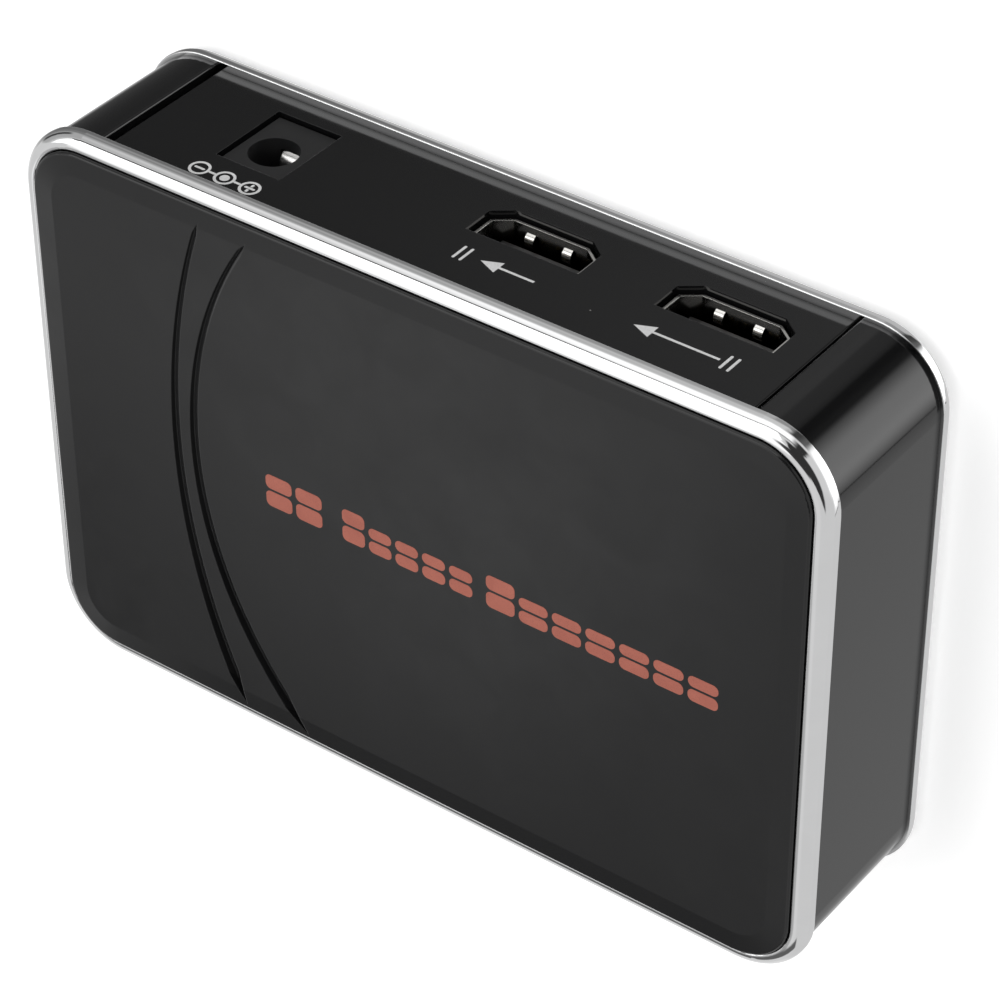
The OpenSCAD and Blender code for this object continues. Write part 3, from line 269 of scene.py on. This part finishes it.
coverBlack = {"colour": (0.0095, 0.0095, 0.0098), "shade": (0.0075, 0.0075, 0.0078), "rough": (0.14, 0.18),
              "gloss": 0.46, "grain": 0.09, "depth": 0.002, "edge": 0.15, "dustCell": 7.0, "dustShare": 0.15}
panelBlack = {"colour": (0.0055, 0.0055, 0.0058), "shade": (0.0045, 0.0045, 0.0048), "rough": (0.1, 0.16),
              "gloss": 0.41, "grain": 0.16, "depth": 0.0012, "edge": 0.1, "dustCell": 5.0, "dustShare": 0.35}
caseBlack = {"colour": (0.0055, 0.0055, 0.0058), "shade": (0.0045, 0.0045, 0.0048), "rough": (0.07, 0.11),
             "gloss": 0.55, "grain": 0.16, "depth": 0.0008, "edge": 0.1, "dustCell": 6.0, "dustShare": 0.25}
socketBlack = {"colour": (0.011, 0.011, 0.0115), "shade": (0.008, 0.008, 0.0085), "rough": (0.35, 0.5),
               "grain": 0.08, "depth": 0.004, "edge": 0.08}
socketWhite = {"colour": (0.78, 0.78, 0.74), "shade": (0.7, 0.69, 0.65), "rough": (0.4, 0.5),
               "grain": 0.08, "depth": 0.003, "edge": 0.08, "wornColour": (0.85, 0.85, 0.83),
               "dustShare": 0.0}
buttonRed = {"colour": (0.42, 0.018, 0.016), "shade": (0.34, 0.013, 0.012), "rough": (0.28, 0.4),
             "grain": 0.12, "depth": 0.003, "edge": 0.2, "wornColour": (0.55, 0.12, 0.1), "patch": 4.0}
plungerWhite = {"colour": (0.76, 0.75, 0.7), "shade": (0.68, 0.67, 0.62), "rough": (0.35, 0.48),
                "grain": 0.08, "depth": 0.003, "edge": 0.1, "wornColour": (0.85, 0.85, 0.82),
                "dustShare": 0.0}
chipBlack = {"colour": (0.017, 0.017, 0.0175), "shade": (0.012, 0.012, 0.0125), "rough": (0.5, 0.62),
             "grain": 0.06, "depth": 0.006, "edge": 0.06, "patch": 3.0}
coilGrey = {"colour": (0.075, 0.075, 0.08), "shade": (0.05, 0.05, 0.054), "rough": (0.6, 0.75),
            "grain": 0.12, "depth": 0.012, "edge": 0.15, "patch": 2.0, "wornColour": (0.12, 0.12, 0.125)}
lampWhite = {"colour": (0.85, 0.85, 0.78), "shade": (0.8, 0.72, 0.35), "rough": (0.2, 0.3),
             "grain": 0.1, "depth": 0.002, "edge": 0.06, "patch": 1.5, "wornColour": (0.9, 0.9, 0.88)}
partTan = {"colour": (0.4, 0.3, 0.18), "shade": (0.3, 0.21, 0.12), "rough": (0.4, 0.55),
           "grain": 0.05, "depth": 0.004, "edge": 0.05, "patch": 1.2, "wornColour": (0.7, 0.69, 0.67),
           "wear": 0.8}


rubberUsual = {"gloss": 0.3, "sheen": 0.15, "keep": 0.4, "rub": 0.5,
               "reach": 1.5, "dirt": 0.25, "dirtColour": (0.11, 0.105, 0.1)}


def softRubber(name, ownLook):
    look = {**rubberUsual, **ownLook}
    plain = {"Specular IOR Level": look["gloss"], "Sheen Weight": look["sheen"]}
    material, tree, shader = newFinish(name, plain)
    texture = useGroup(tree, grain, {"Grain": look["grain"], "Patch": look["patch"]})
    edge = useGroup(tree, softEdge, {"Radius": look["edge"], "Break": look["keep"]})
    corner = useGroup(tree, hollow, {"Reach": look["reach"]})
    body = blendColour(tree, texture.outputs["Patch"], look["colour"], look["shade"])
    rubbed = blendColour(tree, calc(tree, "MULTIPLY", edge.outputs["Edge"], look["rub"]), body, look["worn"])
    dirt = calc(tree, "MULTIPLY", corner.outputs["Mask"], look["dirt"])
    dusty = blendColour(tree, dirt, rubbed, look["dirtColour"])
    rough = roughFrom(tree, texture.outputs["Height"], look["rough"])
    normal = roughNormal(tree, texture.outputs["Height"], edge.outputs["Normal"], look["depth"])
    feed(tree, shader, Base_Color=dusty, Roughness=rough, Normal=normal)
    return material


footRubber = {"colour": (0.02, 0.02, 0.02), "shade": (0.014, 0.014, 0.014), "worn": (0.06, 0.06, 0.06),
              "rough": (0.7, 0.9), "grain": 0.18, "patch": 3.0, "edge": 0.2, "depth": 0.02}
padGrey = {"colour": (0.34, 0.39, 0.44), "shade": (0.28, 0.33, 0.38), "worn": (0.42, 0.46, 0.5),
           "rough": (0.65, 0.85), "grain": 0.25, "patch": 4.0, "edge": 0.1, "depth": 0.02}


plugRub = {"facing": (0.5, 0.9), "upright": 0.3}


def rubbedFaces(tree, heights):
    # rims that face front or back, and the crowns of the spring contacts, which plugs keep bright; they are
    # left out of the painted shade in hollows
    facing = put(tree, "SeparateXYZ", {0: put(tree, "NewGeometry").outputs["Normal"]})
    rim = spread(tree, calc(tree, "ABSOLUTE", facing.outputs[1]), *plugRub["facing"], 0.0, 1.0)
    level = put(tree, "SeparateXYZ", {0: objectPoint(tree)}).outputs[2]
    above = calc(tree, "GREATER_THAN", level, heights[0] * mm)
    below = calc(tree, "LESS_THAN", level, heights[1] * mm)
    upright = calc(tree, "LESS_THAN", calc(tree, "ABSOLUTE", facing.outputs[0]), plugRub["upright"])
    crown = calc(tree, "MULTIPLY", calc(tree, "MULTIPLY", above, below), upright)
    return calc(tree, "MAXIMUM", rim, crown)


platingUsual = {"keep": 0.3, "rub": 0.5, "hidden": (0.25, 0.7), "linesPerGrain": 2}


def barePlating(name, ownLook):
    look = {**platingUsual, **ownLook}
    material, tree, shader = newFinish(name, {"Metallic": 1.0})
    lines = useGroup(tree, brushing, {"Line": look["line"], "Length": look["length"]}).outputs["Line"]
    grainSize = look["line"] * look["linesPerGrain"]
    texture = useGroup(tree, grain, {"Grain": grainSize, "Patch": look["patch"]})
    edge = useGroup(tree, softEdge, {"Radius": look["edge"], "Break": look["keep"]})
    corner = useGroup(tree, hollow, {"Reach": look["reach"]})
    body = blendColour(tree, texture.outputs["Patch"], look["colour"], look["shade"])
    rubbed = blendColour(tree, calc(tree, "MULTIPLY", edge.outputs["Edge"], look["rub"]), body, look["worn"])
    # metal deep in hollows is darkened towards its dark colour: painted shade, with some tarnish
    shadeAndTarnish = spread(tree, corner.outputs["Mask"], *look["hidden"], 0.0, look["shadeAndTarnish"])
    if "rubbed" in look:
        rims = rubbedFaces(tree, look["rubbed"])
        shadeAndTarnish = calc(tree, "MULTIPLY", shadeAndTarnish, calc(tree, "SUBTRACT", 1.0, rims), True)
    tarnishedAndShaded = blendColour(tree, shadeAndTarnish, rubbed, look["dark"])
    normal = roughNormal(tree, lines, edge.outputs["Normal"], look["depth"])
    feed(tree, shader, Base_Color=tarnishedAndShaded, Roughness=roughFrom(tree, lines, look["rough"]), Normal=normal)
    return material


trimSilver = {"colour": (0.93, 0.932, 0.937), "shade": (0.9, 0.902, 0.907), "worn": (0.95, 0.95, 0.955),
              "dark": (0.4, 0.4, 0.4), "shadeAndTarnish": 0.12, "rough": (0.04, 0.065), "line": 0.8, "length": 3.0,
              "patch": 6.0, "edge": 0.12, "reach": 0.8, "depth": 0.0008}
# the ledge under the panels is painted dark in its corner against them: a painted shade line where the parts
# meet
lowerTrimShaded = {**trimSilver, "dark": (0.12, 0.12, 0.12), "shadeAndTarnish": 0.85, "hidden": (0.15, 0.6)}
screwSteel = {"colour": (0.5, 0.5, 0.51), "shade": (0.4, 0.4, 0.41), "worn": (0.66, 0.66, 0.67),
              "dark": (0.05, 0.05, 0.05), "shadeAndTarnish": 0.8, "rough": (0.24, 0.36), "line": 0.07, "length": 0.3,
              "patch": 1.5, "edge": 0.08, "reach": 1.0, "depth": 0.003}
# socket shells are painted near black in their hollows, a painted shade with some tarnish
socketSteel = {"colour": (0.88, 0.865, 0.83), "shade": (0.82, 0.805, 0.77), "worn": (0.92, 0.91, 0.88),
               "dark": (0.012, 0.011, 0.011), "shadeAndTarnish": 1.0, "rough": (0.18, 0.23), "line": 0.06,
               "length": 3.0, "patch": 2.5, "edge": 0.06, "reach": 2.5, "depth": 0.0004,
               "rubbed": (8.2, 8.9), "hidden": (0.08, 0.4)}
springSteel = {"colour": (0.86, 0.85, 0.83), "shade": (0.8, 0.79, 0.77), "worn": (0.9, 0.89, 0.87),
               "dark": (0.3, 0.29, 0.28), "shadeAndTarnish": 0.2, "rough": (0.16, 0.24), "line": 0.08, "length": 2.0,
               "patch": 2.0, "edge": 0.06, "reach": 0.6, "depth": 0.001}
contactGold = {"colour": (0.8, 0.58, 0.24), "shade": (0.7, 0.48, 0.18), "worn": (0.9, 0.72, 0.4),
               "dark": (0.03, 0.02, 0.01), "shadeAndTarnish": 0.7, "rough": (0.18, 0.28), "line": 0.05, "length": 2.0,
               "patch": 1.5, "edge": 0.04, "reach": 1.2, "depth": 0.002}
sinkAluminium = {"colour": (0.62, 0.62, 0.64), "shade": (0.54, 0.54, 0.56), "worn": (0.8, 0.8, 0.81),
                 "dark": (0.1, 0.1, 0.1), "shadeAndTarnish": 0.5, "rough": (0.3, 0.42), "line": 0.06, "length": 8.0,
                 "patch": 5.0, "edge": 0.08, "reach": 2.0, "depth": 0.004}
canAluminium = {"colour": (0.72, 0.72, 0.73), "shade": (0.64, 0.64, 0.65), "worn": (0.82, 0.82, 0.83),
                "dark": (0.08, 0.08, 0.08), "shadeAndTarnish": 0.5, "rough": (0.22, 0.34), "line": 0.05,
                "length": 1.0, "patch": 2.0, "edge": 0.1, "reach": 1.0, "depth": 0.003}


def solderMask(name, look):
    material, tree, shader = newFinish(name, {"Specular IOR Level": look["gloss"]})
    texture = useGroup(tree, grain, {"Grain": look["grain"], "Patch": look["patch"]})
    edge = useGroup(tree, softEdge, {"Radius": look["edge"], "Break": look["keep"]})
    point = objectPoint(tree)
    layout = {"Vector": point, "Scale": 1 / (look["track"] * mm), "Randomness": look["scatter"]}
    tracks = put(tree, "TexVoronoi", layout, feature="DISTANCE_TO_EDGE")
    copper = spread(tree, tracks.outputs["Distance"], *look["trackEdge"], 1.0, 0.0)
    vias = put(tree, "TexVoronoi", {"Vector": point, "Scale": 1 / (look["via"] * mm)})
    via = spread(tree, vias.outputs["Distance"], *look["viaEdge"], 1.0, 0.0)
    body = blendColour(tree, texture.outputs["Patch"], look["colour"], look["shade"])
    traced = blendColour(tree, calc(tree, "MULTIPLY", copper, look["show"]), body, look["overCopper"])
    holed = blendColour(tree, via, traced, look["viaTin"])
    core = blendColour(tree, edge.outputs["Edge"], holed, look["core"])
    raised = calc(tree, "ADD", copper, calc(tree, "MULTIPLY", texture.outputs["Height"], look["peel"]))
    rough = spread(tree, texture.outputs["Patch"], 0.0, 1.0, *look["rough"])
    tinned = calc(tree, "MULTIPLY", via, look["tin"])
    normal = roughNormal(tree, raised, edge.outputs["Normal"], look["depth"])
    feed(tree, shader, Base_Color=core, Roughness=rough, Metallic=tinned, Normal=normal)
    return material


boardGreen = {"colour": (0.012, 0.11, 0.035), "shade": (0.01, 0.09, 0.03), "overCopper": (0.03, 0.19, 0.06),
              "viaTin": (0.6, 0.58, 0.52), "core": (0.3, 0.29, 0.14), "gloss": 0.5, "rough": (0.22, 0.32),
              "track": 3.2, "scatter": 0.55, "trackEdge": (0.05, 0.09), "show": 0.7, "peel": 0.15,
              "via": 2.6, "viaEdge": (0.09, 0.12), "tin": 0.9, "grain": 0.2, "patch": 7.0,
              "edge": 0.08, "keep": 0.4, "depth": 0.03}


def clearResin(name, look):
    plain = {"Transmission Weight": look["clear"], "IOR": look["index"], "Specular IOR Level": look["gloss"]}
    material, tree, shader = newFinish(name, plain)
    texture = useGroup(tree, grain, {"Grain": look["grain"], "Patch": look["patch"]})
    edge = useGroup(tree, softEdge, {"Radius": look["edge"], "Break": look["keep"]})
    body = blendColour(tree, texture.outputs["Patch"], look["colour"], look["shade"])
    rough = roughFrom(tree, texture.outputs["Height"], look["rough"])
    normal = roughNormal(tree, texture.outputs["Height"], edge.outputs["Normal"], look["depth"])
    feed(tree, shader, Base_Color=body, Roughness=rough, Normal=normal)
    return material


pipeClear = {"colour": (0.93, 0.95, 0.96), "shade": (0.88, 0.9, 0.92), "rough": (0.12, 0.24), "clear": 0.85,
             "index": 1.49, "gloss": 0.5, "grain": 0.15, "patch": 2.0, "edge": 0.1, "keep": 0.4,
             "depth": 0.002}

inkUsual = {"gloss": 0.35, "rough": (0.4, 0.55), "grain": 0.16, "patch": 3.0, "pinBand": (0.36, 0.46),
            "edge": 0.02, "depth": 0.004}


def printedInk(name, ownLook):
    # thin screen print: pinholes and an uneven film
    look = {**inkUsual, **ownLook}
    material, tree, shader = newFinish(name, {"Specular IOR Level": look["gloss"]})
    texture = useGroup(tree, grain, {"Grain": look["grain"], "Patch": look["patch"]})
    pin = spread(tree, texture.outputs["Height"], *look["pinBand"], look["pinhole"], 0.0)
    film = blendColour(tree, texture.outputs["Patch"], look["colour"], look["shade"])
    thin = blendColour(tree, pin, film, look["under"])
    rounded = put(tree, "Bevel", {"Radius": look["edge"] * mm}, samples=4).outputs["Normal"]
    rough = roughFrom(tree, texture.outputs["Height"], look["rough"])
    normal = roughNormal(tree, texture.outputs["Height"], rounded, look["depth"])
    feed(tree, shader, Base_Color=thin, Roughness=rough, Normal=normal)
    return material


redInk = {"colour": (0.4, 0.125, 0.088), "shade": (0.35, 0.105, 0.074), "under": (0.16, 0.05, 0.04),
          "pinhole": 0.5}
whiteInk = {"colour": (0.78, 0.78, 0.78), "shade": (0.7, 0.7, 0.7), "under": (0.3, 0.3, 0.3), "pinhole": 0.3}

# Every node of the frame takes the finish of its own material slot
finishes = {
    "cover_black": (mouldedPlastic, coverBlack), "panel_black": (mouldedPlastic, panelBlack),
    "case_black": (mouldedPlastic, caseBlack), "trim_silver": (barePlating, trimSilver),
    "foot_rubber": (softRubber, footRubber), "screw_steel": (barePlating, screwSteel),
    "board_green": (solderMask, boardGreen), "socket_steel": (barePlating, socketSteel),
    "socket_black": (mouldedPlastic, socketBlack), "socket_white": (mouldedPlastic, socketWhite),
    "contact_gold": (barePlating, contactGold), "button_red": (mouldedPlastic, buttonRed),
    "plunger_white": (mouldedPlastic, plungerWhite), "pipe_clear": (clearResin, pipeClear),
    "lamp_white": (mouldedPlastic, lampWhite), "chip_black": (mouldedPlastic, chipBlack),
    "pad_grey": (softRubber, padGrey), "sink_aluminium": (barePlating, sinkAluminium),
    "can_aluminium": (barePlating, canAluminium), "coil_grey": (mouldedPlastic, coilGrey),
    "part_tan": (mouldedPlastic, partTan),
}
made = {slot: build(slot + "_finish", look) for slot, (build, look) in finishes.items()}
# the jack's spring leaf takes less painted shade in its hollow, so that it shows bright
made["power_jack_spring"] = barePlating("power_jack_spring_finish", springSteel)
made["bottom_trim_ring"] = barePlating("bottom_trim_ring_finish", lowerTrimShaded)
for name, node in nodes.items():
    for place in node.material_slots:
        place.material = made.get(name, made[place.material.name.split(".")[0]])
print("finishes made:", len(made))


# Printed marks, as thin plates of ink let into the face that carries them
def roundedBar(left, bottom, width, height, radius, steps=6):
    near, far = left + radius, left + width - radius
    low, high = bottom + radius, bottom + height - radius
    points = []
    for x, y, start in ((far, low, -90), (far, high, 0), (near, high, 90), (near, low, 180)):
        for step in range(steps + 1):
            turn = math.radians(start + 90 * step / steps)
            points.append((x + radius * math.cos(turn), y + radius * math.sin(turn)))
    return points


def ringPair(x, y, radius, stroke, steps=40):
    def loop(r):
        return [(x + r * math.cos(2 * math.pi * i / steps), y + r * math.sin(2 * math.pi * i / steps))
                for i in range(steps)]
    return loop(radius), loop(radius - stroke)


def inkPlates(name, outlines, rings, onFace, film, material):
    mesh = bmesh.new()
    for outline in outlines:
        low = [mesh.verts.new(onFace(u, v, -film)) for u, v in outline]
        high = [mesh.verts.new(onFace(u, v, film)) for u, v in outline]
        mesh.faces.new(high)
        mesh.faces.new(low[::-1])
        for i in range(len(outline)):
            j = (i + 1) % len(outline)
            mesh.faces.new((low[i], low[j], high[j], high[i]))
    for outer, inner in rings:
        loops = [[mesh.verts.new(onFace(u, v, level)) for u, v in line]
                 for line, level in ((outer, -film), (outer, film), (inner, film), (inner, -film))]
        for i in range(len(outer)):
            j = (i + 1) % len(outer)
            for first, second in zip(loops, loops[1:] + loops[:1]):
                mesh.faces.new((first[i], first[j], second[j], second[i]))
    bmesh.ops.recalc_face_normals(mesh, faces=mesh.faces)
    data = bpy.data.meshes.new(name)
    mesh.to_mesh(data)
    mesh.free()
    data.materials.append(material)
    piece = bpy.data.objects.new(name, data)
    scene.collection.objects.link(piece)
    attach(piece, "case")


# A level-meter row in three groups across the cover
coverPrint = {
    "groups": ((-21.0, 8.7, 2), (-9.2, 19.5, 5), (12.3, 32.8, 7)),  # left end, length, bars
    "bottom": -2.1, "tall": 4.8, "short": 3.7, "between": 0.6, "slit": 0.34, "split": 0.52, "round": 0.75,
    "film": 0.02,
}


def addCoverPrint(look):
    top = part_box("top_cover")[1].z / mm
    bars = []
    for left, length, count in look["groups"]:
        width = (length - look["between"] * (count - 1)) / count
        for i in range(count):
            x = left + i * (width + look["between"])
            height = look["tall"] if i == 0 or count == 2 else look["short"]
            lower = height * look["split"] - look["slit"] / 2
            upper = height - lower - look["slit"]
            bars.append(roundedBar(x, look["bottom"], width, lower, look["round"]))
            bars.append(roundedBar(x, look["bottom"] + lower + look["slit"], width, upper, look["round"]))

    def onCover(u, v, lift):
        return (u * mm, v * mm, (top + lift) * mm)

    inkPlates("cover_print", bars, [], onCover, look["film"], printedInk("red_ink", redInk))


# Signs over the sockets: polarity at the power jack, an arrow in and an arrow out
rearMarks = {
    "stroke": 0.36, "height": 2.8, "film": 0.015, "round": 0.45,
    "power": (-29.75, 21.9),  # middle of the polarity sign
    "link": 1.0, "dot": 0.45, "minus": 0.55, "plusGap": 0.75, "plusArm": 0.42,
    "input": (1.7, 12.4, 18.1), "output": (26.2, 39.7, 18.3),  # left end, right end, height
    "head": 2.6, "headHalf": 0.8, "posts": 1.0, "inputGap": 3.2, "outputGap": 2.0,
}


def addRearMarks(look):
    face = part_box("rear_panel")[1].y / mm
    stroke, half = look["stroke"], look["height"] / 2
    outlines, rings = [], []

    def bar(left, bottom, width, height):
        radius = look["round"] * min(width, height)
        outlines.append(roundedBar(left, bottom, width, height, radius, steps=4))

    def arrow(tail, tip, z):
        back = tip - math.copysign(look["head"], tip - tail)
        wide = half * look["headHalf"]
        outlines.append([(tail, z - stroke / 2), (back, z - stroke / 2), (back, z - wide), (tip, z),
                         (back, z + wide), (back, z + stroke / 2), (tail, z + stroke / 2)])

    # a minus, a dot and a plus, each in a ring, with short links between
    x, z = look["power"]
    reach = half * 2 + look["link"]
    minus = half * look["minus"]
    for side in (-1, 1):
        rings.append(ringPair(x + side * reach, z, half, stroke))
        bar(x + side * reach - minus, z - stroke / 2, minus * 2, stroke)
        start = x + side * half
        bar(min(start, start + side * look["link"]), z - stroke / 2, look["link"], stroke)
    gap, arm = stroke * look["plusGap"], half * look["plusArm"]
    bar(x + reach - stroke / 2, z + gap, stroke, arm)
    bar(x + reach - stroke / 2, z - gap - arm, stroke, arm)
    rings.append(ringPair(x, z, half, stroke))
    outlines.append(ringPair(x, z, half * look["dot"], stroke)[0])

    left, right, z = look["input"]
    arrow(right, left + look["inputGap"], z)
    for x in (left, left + look["posts"]):
        bar(x, z - half, stroke, look["height"])
    left, right, z = look["output"]
    arrow(right - look["outputGap"], left, z)
    for x in (right - stroke, right - look["posts"] - stroke):
        bar(x, z - half, stroke, look["height"])

    def onPanel(u, v, lift):
        return (u * mm, (face + lift) * mm, v * mm)

    ink = printedInk("white_ink", whiteInk)
    inkPlates("rear_marks", outlines, rings, onPanel, look["film"], ink)


addCoverPrint(coverPrint)
addRearMarks(rearMarks)
print("print laid on")


# Stage: pale floor, soft lamp, and a studio that gloss reflects
floorLook = {"half": 3.0, "level": -0.00005, "colour": (0.86, 0.86, 0.86), "lift": 0.42}


def addFloor(look):
    half = look["half"]
    corners = [(-half, -half), (half, -half), (half, half), (-half, half)]
    data = bpy.data.meshes.new("floor")
    data.from_pydata([(x, y, look["level"]) for x, y in corners], [], [(0, 1, 2, 3)])
    floor = bpy.data.objects.new("floor", data)
    material = bpy.data.materials.new("floor_paper")
    material.use_nodes = True
    tree = material.node_tree
    tree.nodes.clear()
    path = put(tree, "LightPath")
    seen = calc(tree, "ADD", path.outputs["Is Camera Ray"], path.outputs["Is Glossy Ray"], True)
    seen = calc(tree, "ADD", seen, path.outputs["Is Transmission Ray"], True)
    paper = put(tree, "BsdfDiffuse", {"Color": (*look["colour"], 1)})
    glow = put(tree, "Emission", {"Strength": calc(tree, "MULTIPLY", seen, look["lift"])})
    both = put(tree, "AddShader", {0: paper.outputs[0], 1: glow.outputs[0]})
    # seen from below the floor is clear, so that the underside shows
    below = put(tree, "NewGeometry").outputs["Backfacing"]
    clear = put(tree, "BsdfTransparent")
    shown = put(tree, "MixShader", {0: below, 1: both.outputs[0], 2: clear.outputs[0]})
    put(tree, "OutputMaterial", {"Surface": shown.outputs[0]})
    data.materials.append(material)
    scene.collection.objects.link(floor)
    floor.visible_glossy = False


lampLook = {"place": (-0.25, 0.15, 0.9), "aim": (0, 0, 0.01), "size": 0.9, "power": 6.0}


def addLamp(look):
    data = bpy.data.lights.new("softLamp", "AREA")
    data.size = look["size"]
    data.energy = look["power"]
    lamp = bpy.data.objects.new("softLamp", data)
    place = Vector(look["place"])
    turn = (place - Vector(look["aim"])).to_track_quat("Z", "Y")
    lamp.matrix_world = Matrix.Translation(place) @ turn.to_matrix().to_4x4()
    lamp.visible_glossy = False
    scene.collection.objects.link(lamp)


# The studio is a light tent with dark gaps, which only gloss reflects: "plain" lights matt faces, "seen" is
# the white behind the part, and "room" is the tent where no panel stands. Each panel has the way it lies
# (turn, lift), half its reach and the softness of its edge, in degrees, and its level. A later panel covers
# an earlier one.
studio = {
    "plain": 0.7,
    "seen": 1.0,
    "room": 0.82,
    "panels": {
        "ground": {"turn": 180, "lift": -50, "wide": 180, "high": 40, "soft": 8, "level": 0.75},
        "groundFront": {"turn": 235, "lift": -45, "wide": 35, "high": 45, "soft": 16, "level": 0.95},
        "groundBehind": {"turn": 115, "lift": -29, "wide": 35, "high": 24, "soft": 16, "level": 0.75},
        "nearBehind": {"turn": 130, "lift": -46, "wide": 17, "high": 14, "soft": 8, "level": 0.5},
        "nearRight": {"turn": 98, "lift": -48, "wide": 15, "high": 16, "soft": 8, "level": 0.35},
        "groundLeft": {"turn": 156, "lift": -13, "wide": 34, "high": 13, "soft": 18, "level": 0.18},
        "nearLeft": {"turn": 164, "lift": -38, "wide": 34, "high": 16, "soft": 18, "level": 0.18},
        "closeBehind": {"turn": 150, "lift": -74, "wide": 75, "high": 22, "soft": 8, "level": 0.6},
        "cornerStrip": {"turn": 12, "lift": -50, "wide": 30, "high": 40, "soft": 34, "level": 2.9},
        "halfShade": {"turn": 64, "lift": -50, "wide": 10, "high": 40, "soft": 10, "level": 0.14},
        "flag": {"turn": 75, "lift": -50, "wide": 9, "high": 40, "soft": 12, "level": 0.06},
        "thinFlag": {"turn": -30, "lift": -50, "wide": 1.0, "high": 40, "soft": 1.6, "level": 0.15},
        "tentRight": {"turn": -45, "lift": 25, "wide": 40, "high": 40, "soft": 20, "level": 0.76},
        "tentRear": {"turn": 100, "lift": 12, "wide": 26, "high": 16, "soft": 14, "level": 1.45},
        "rearGap": {"turn": 158, "lift": 6, "wide": 34, "high": 20, "soft": 16, "level": 0.5},
        "darkGap": {"turn": 163, "lift": -2, "wide": 20, "high": 6, "soft": 8, "level": 0.04},
        "tentLeft": {"turn": 205, "lift": 14, "wide": 20, "high": 19, "soft": 5, "level": 0.8},
        "tentFront": {"turn": 233, "lift": 40, "wide": 20, "high": 6.5, "soft": 4, "level": 0.5},
        "brightCorner": {"turn": 219, "lift": 31, "wide": 5, "high": 3.5, "soft": 4, "level": 1.15},
        "darkEdge": {"turn": 258, "lift": 29, "wide": 26, "high": 7.8, "soft": 4, "level": 0.14},
        "darkEnd": {"turn": 229.5, "lift": 33.6, "wide": 5.5, "high": 2.4, "soft": 3, "level": 0.05},
        "clothLamp": {"turn": 230, "lift": 39.5, "wide": 6, "high": 3, "soft": 5, "level": 1.06},
        "boxOverhead": {"turn": 165, "lift": 66, "wide": 65, "high": 19, "soft": 8, "level": 1.4},
        "boxLeft": {"turn": 140, "lift": 46, "wide": 46, "high": 14, "soft": 6, "level": 2.2},
        "slit": {"turn": 92, "lift": 32, "wide": 46, "high": 2, "soft": 3, "level": 0.08},
        "slitEnd": {"turn": 134, "lift": 31, "wide": 12, "high": 3.5, "soft": 3, "level": 0.08},
        "holeTop": {"turn": 0, "lift": 90, "wide": 180, "high": 14, "soft": 6, "level": 0.04},
        "hole": {"turn": 22, "lift": 65, "wide": 62, "high": 21, "soft": 8, "level": 0.04},
        "holeBelow": {"turn": 58, "lift": 27, "wide": 10, "high": 22, "soft": 8, "level": 0.04},
    },
}


def addStudio(look):
    world = bpy.data.worlds.new("studio")
    world.use_nodes = True
    scene.world = world
    tree = world.node_tree
    tree.nodes.clear()
    way = put(tree, "SeparateXYZ", {0: put(tree, "TexCoord").outputs["Generated"]})
    perRadian = math.degrees(1)
    turn = calc(tree, "MULTIPLY", calc(tree, "ARCTAN2", way.outputs[1], way.outputs[0]), perRadian)
    lift = calc(tree, "MULTIPLY", calc(tree, "ARCSINE", way.outputs[2]), perRadian)
    level = look["room"]
    for panel in look["panels"].values():
        aside = calc(tree, "SUBTRACT", turn, panel["turn"])
        wrapped = put(tree, "Math", {0: aside, 1: 180.0, 2: -180.0}, operation="WRAP").outputs[0]
        above = calc(tree, "SUBTRACT", lift, panel["lift"])
        soft = panel["soft"] / 2
        masks = []
        for offset, reach in ((wrapped, panel["wide"]), (above, panel["high"])):
            away = calc(tree, "ABSOLUTE", offset)
            masks.append(spread(tree, away, reach - soft, reach + soft, 1.0, 0.0, True))
        mask = calc(tree, "MULTIPLY", *masks)
        level = blendLevel(tree, mask, level, panel["level"])
    path = put(tree, "LightPath")
    glossy = blendLevel(tree, path.outputs["Is Glossy Ray"], look["plain"], level)
    seen = calc(tree, "ADD", path.outputs["Is Camera Ray"], path.outputs["Is Transmission Ray"], True)
    sky = put(tree, "Background", {"Strength": blendLevel(tree, seen, glossy, look["seen"])})
    put(tree, "OutputWorld", {"Surface": sky.outputs[0]})
    world.cycles.sampling_method = "NONE"


addFloor(floorLook)
addLamp(lampLook)
addStudio(studio)
print("stage lit")
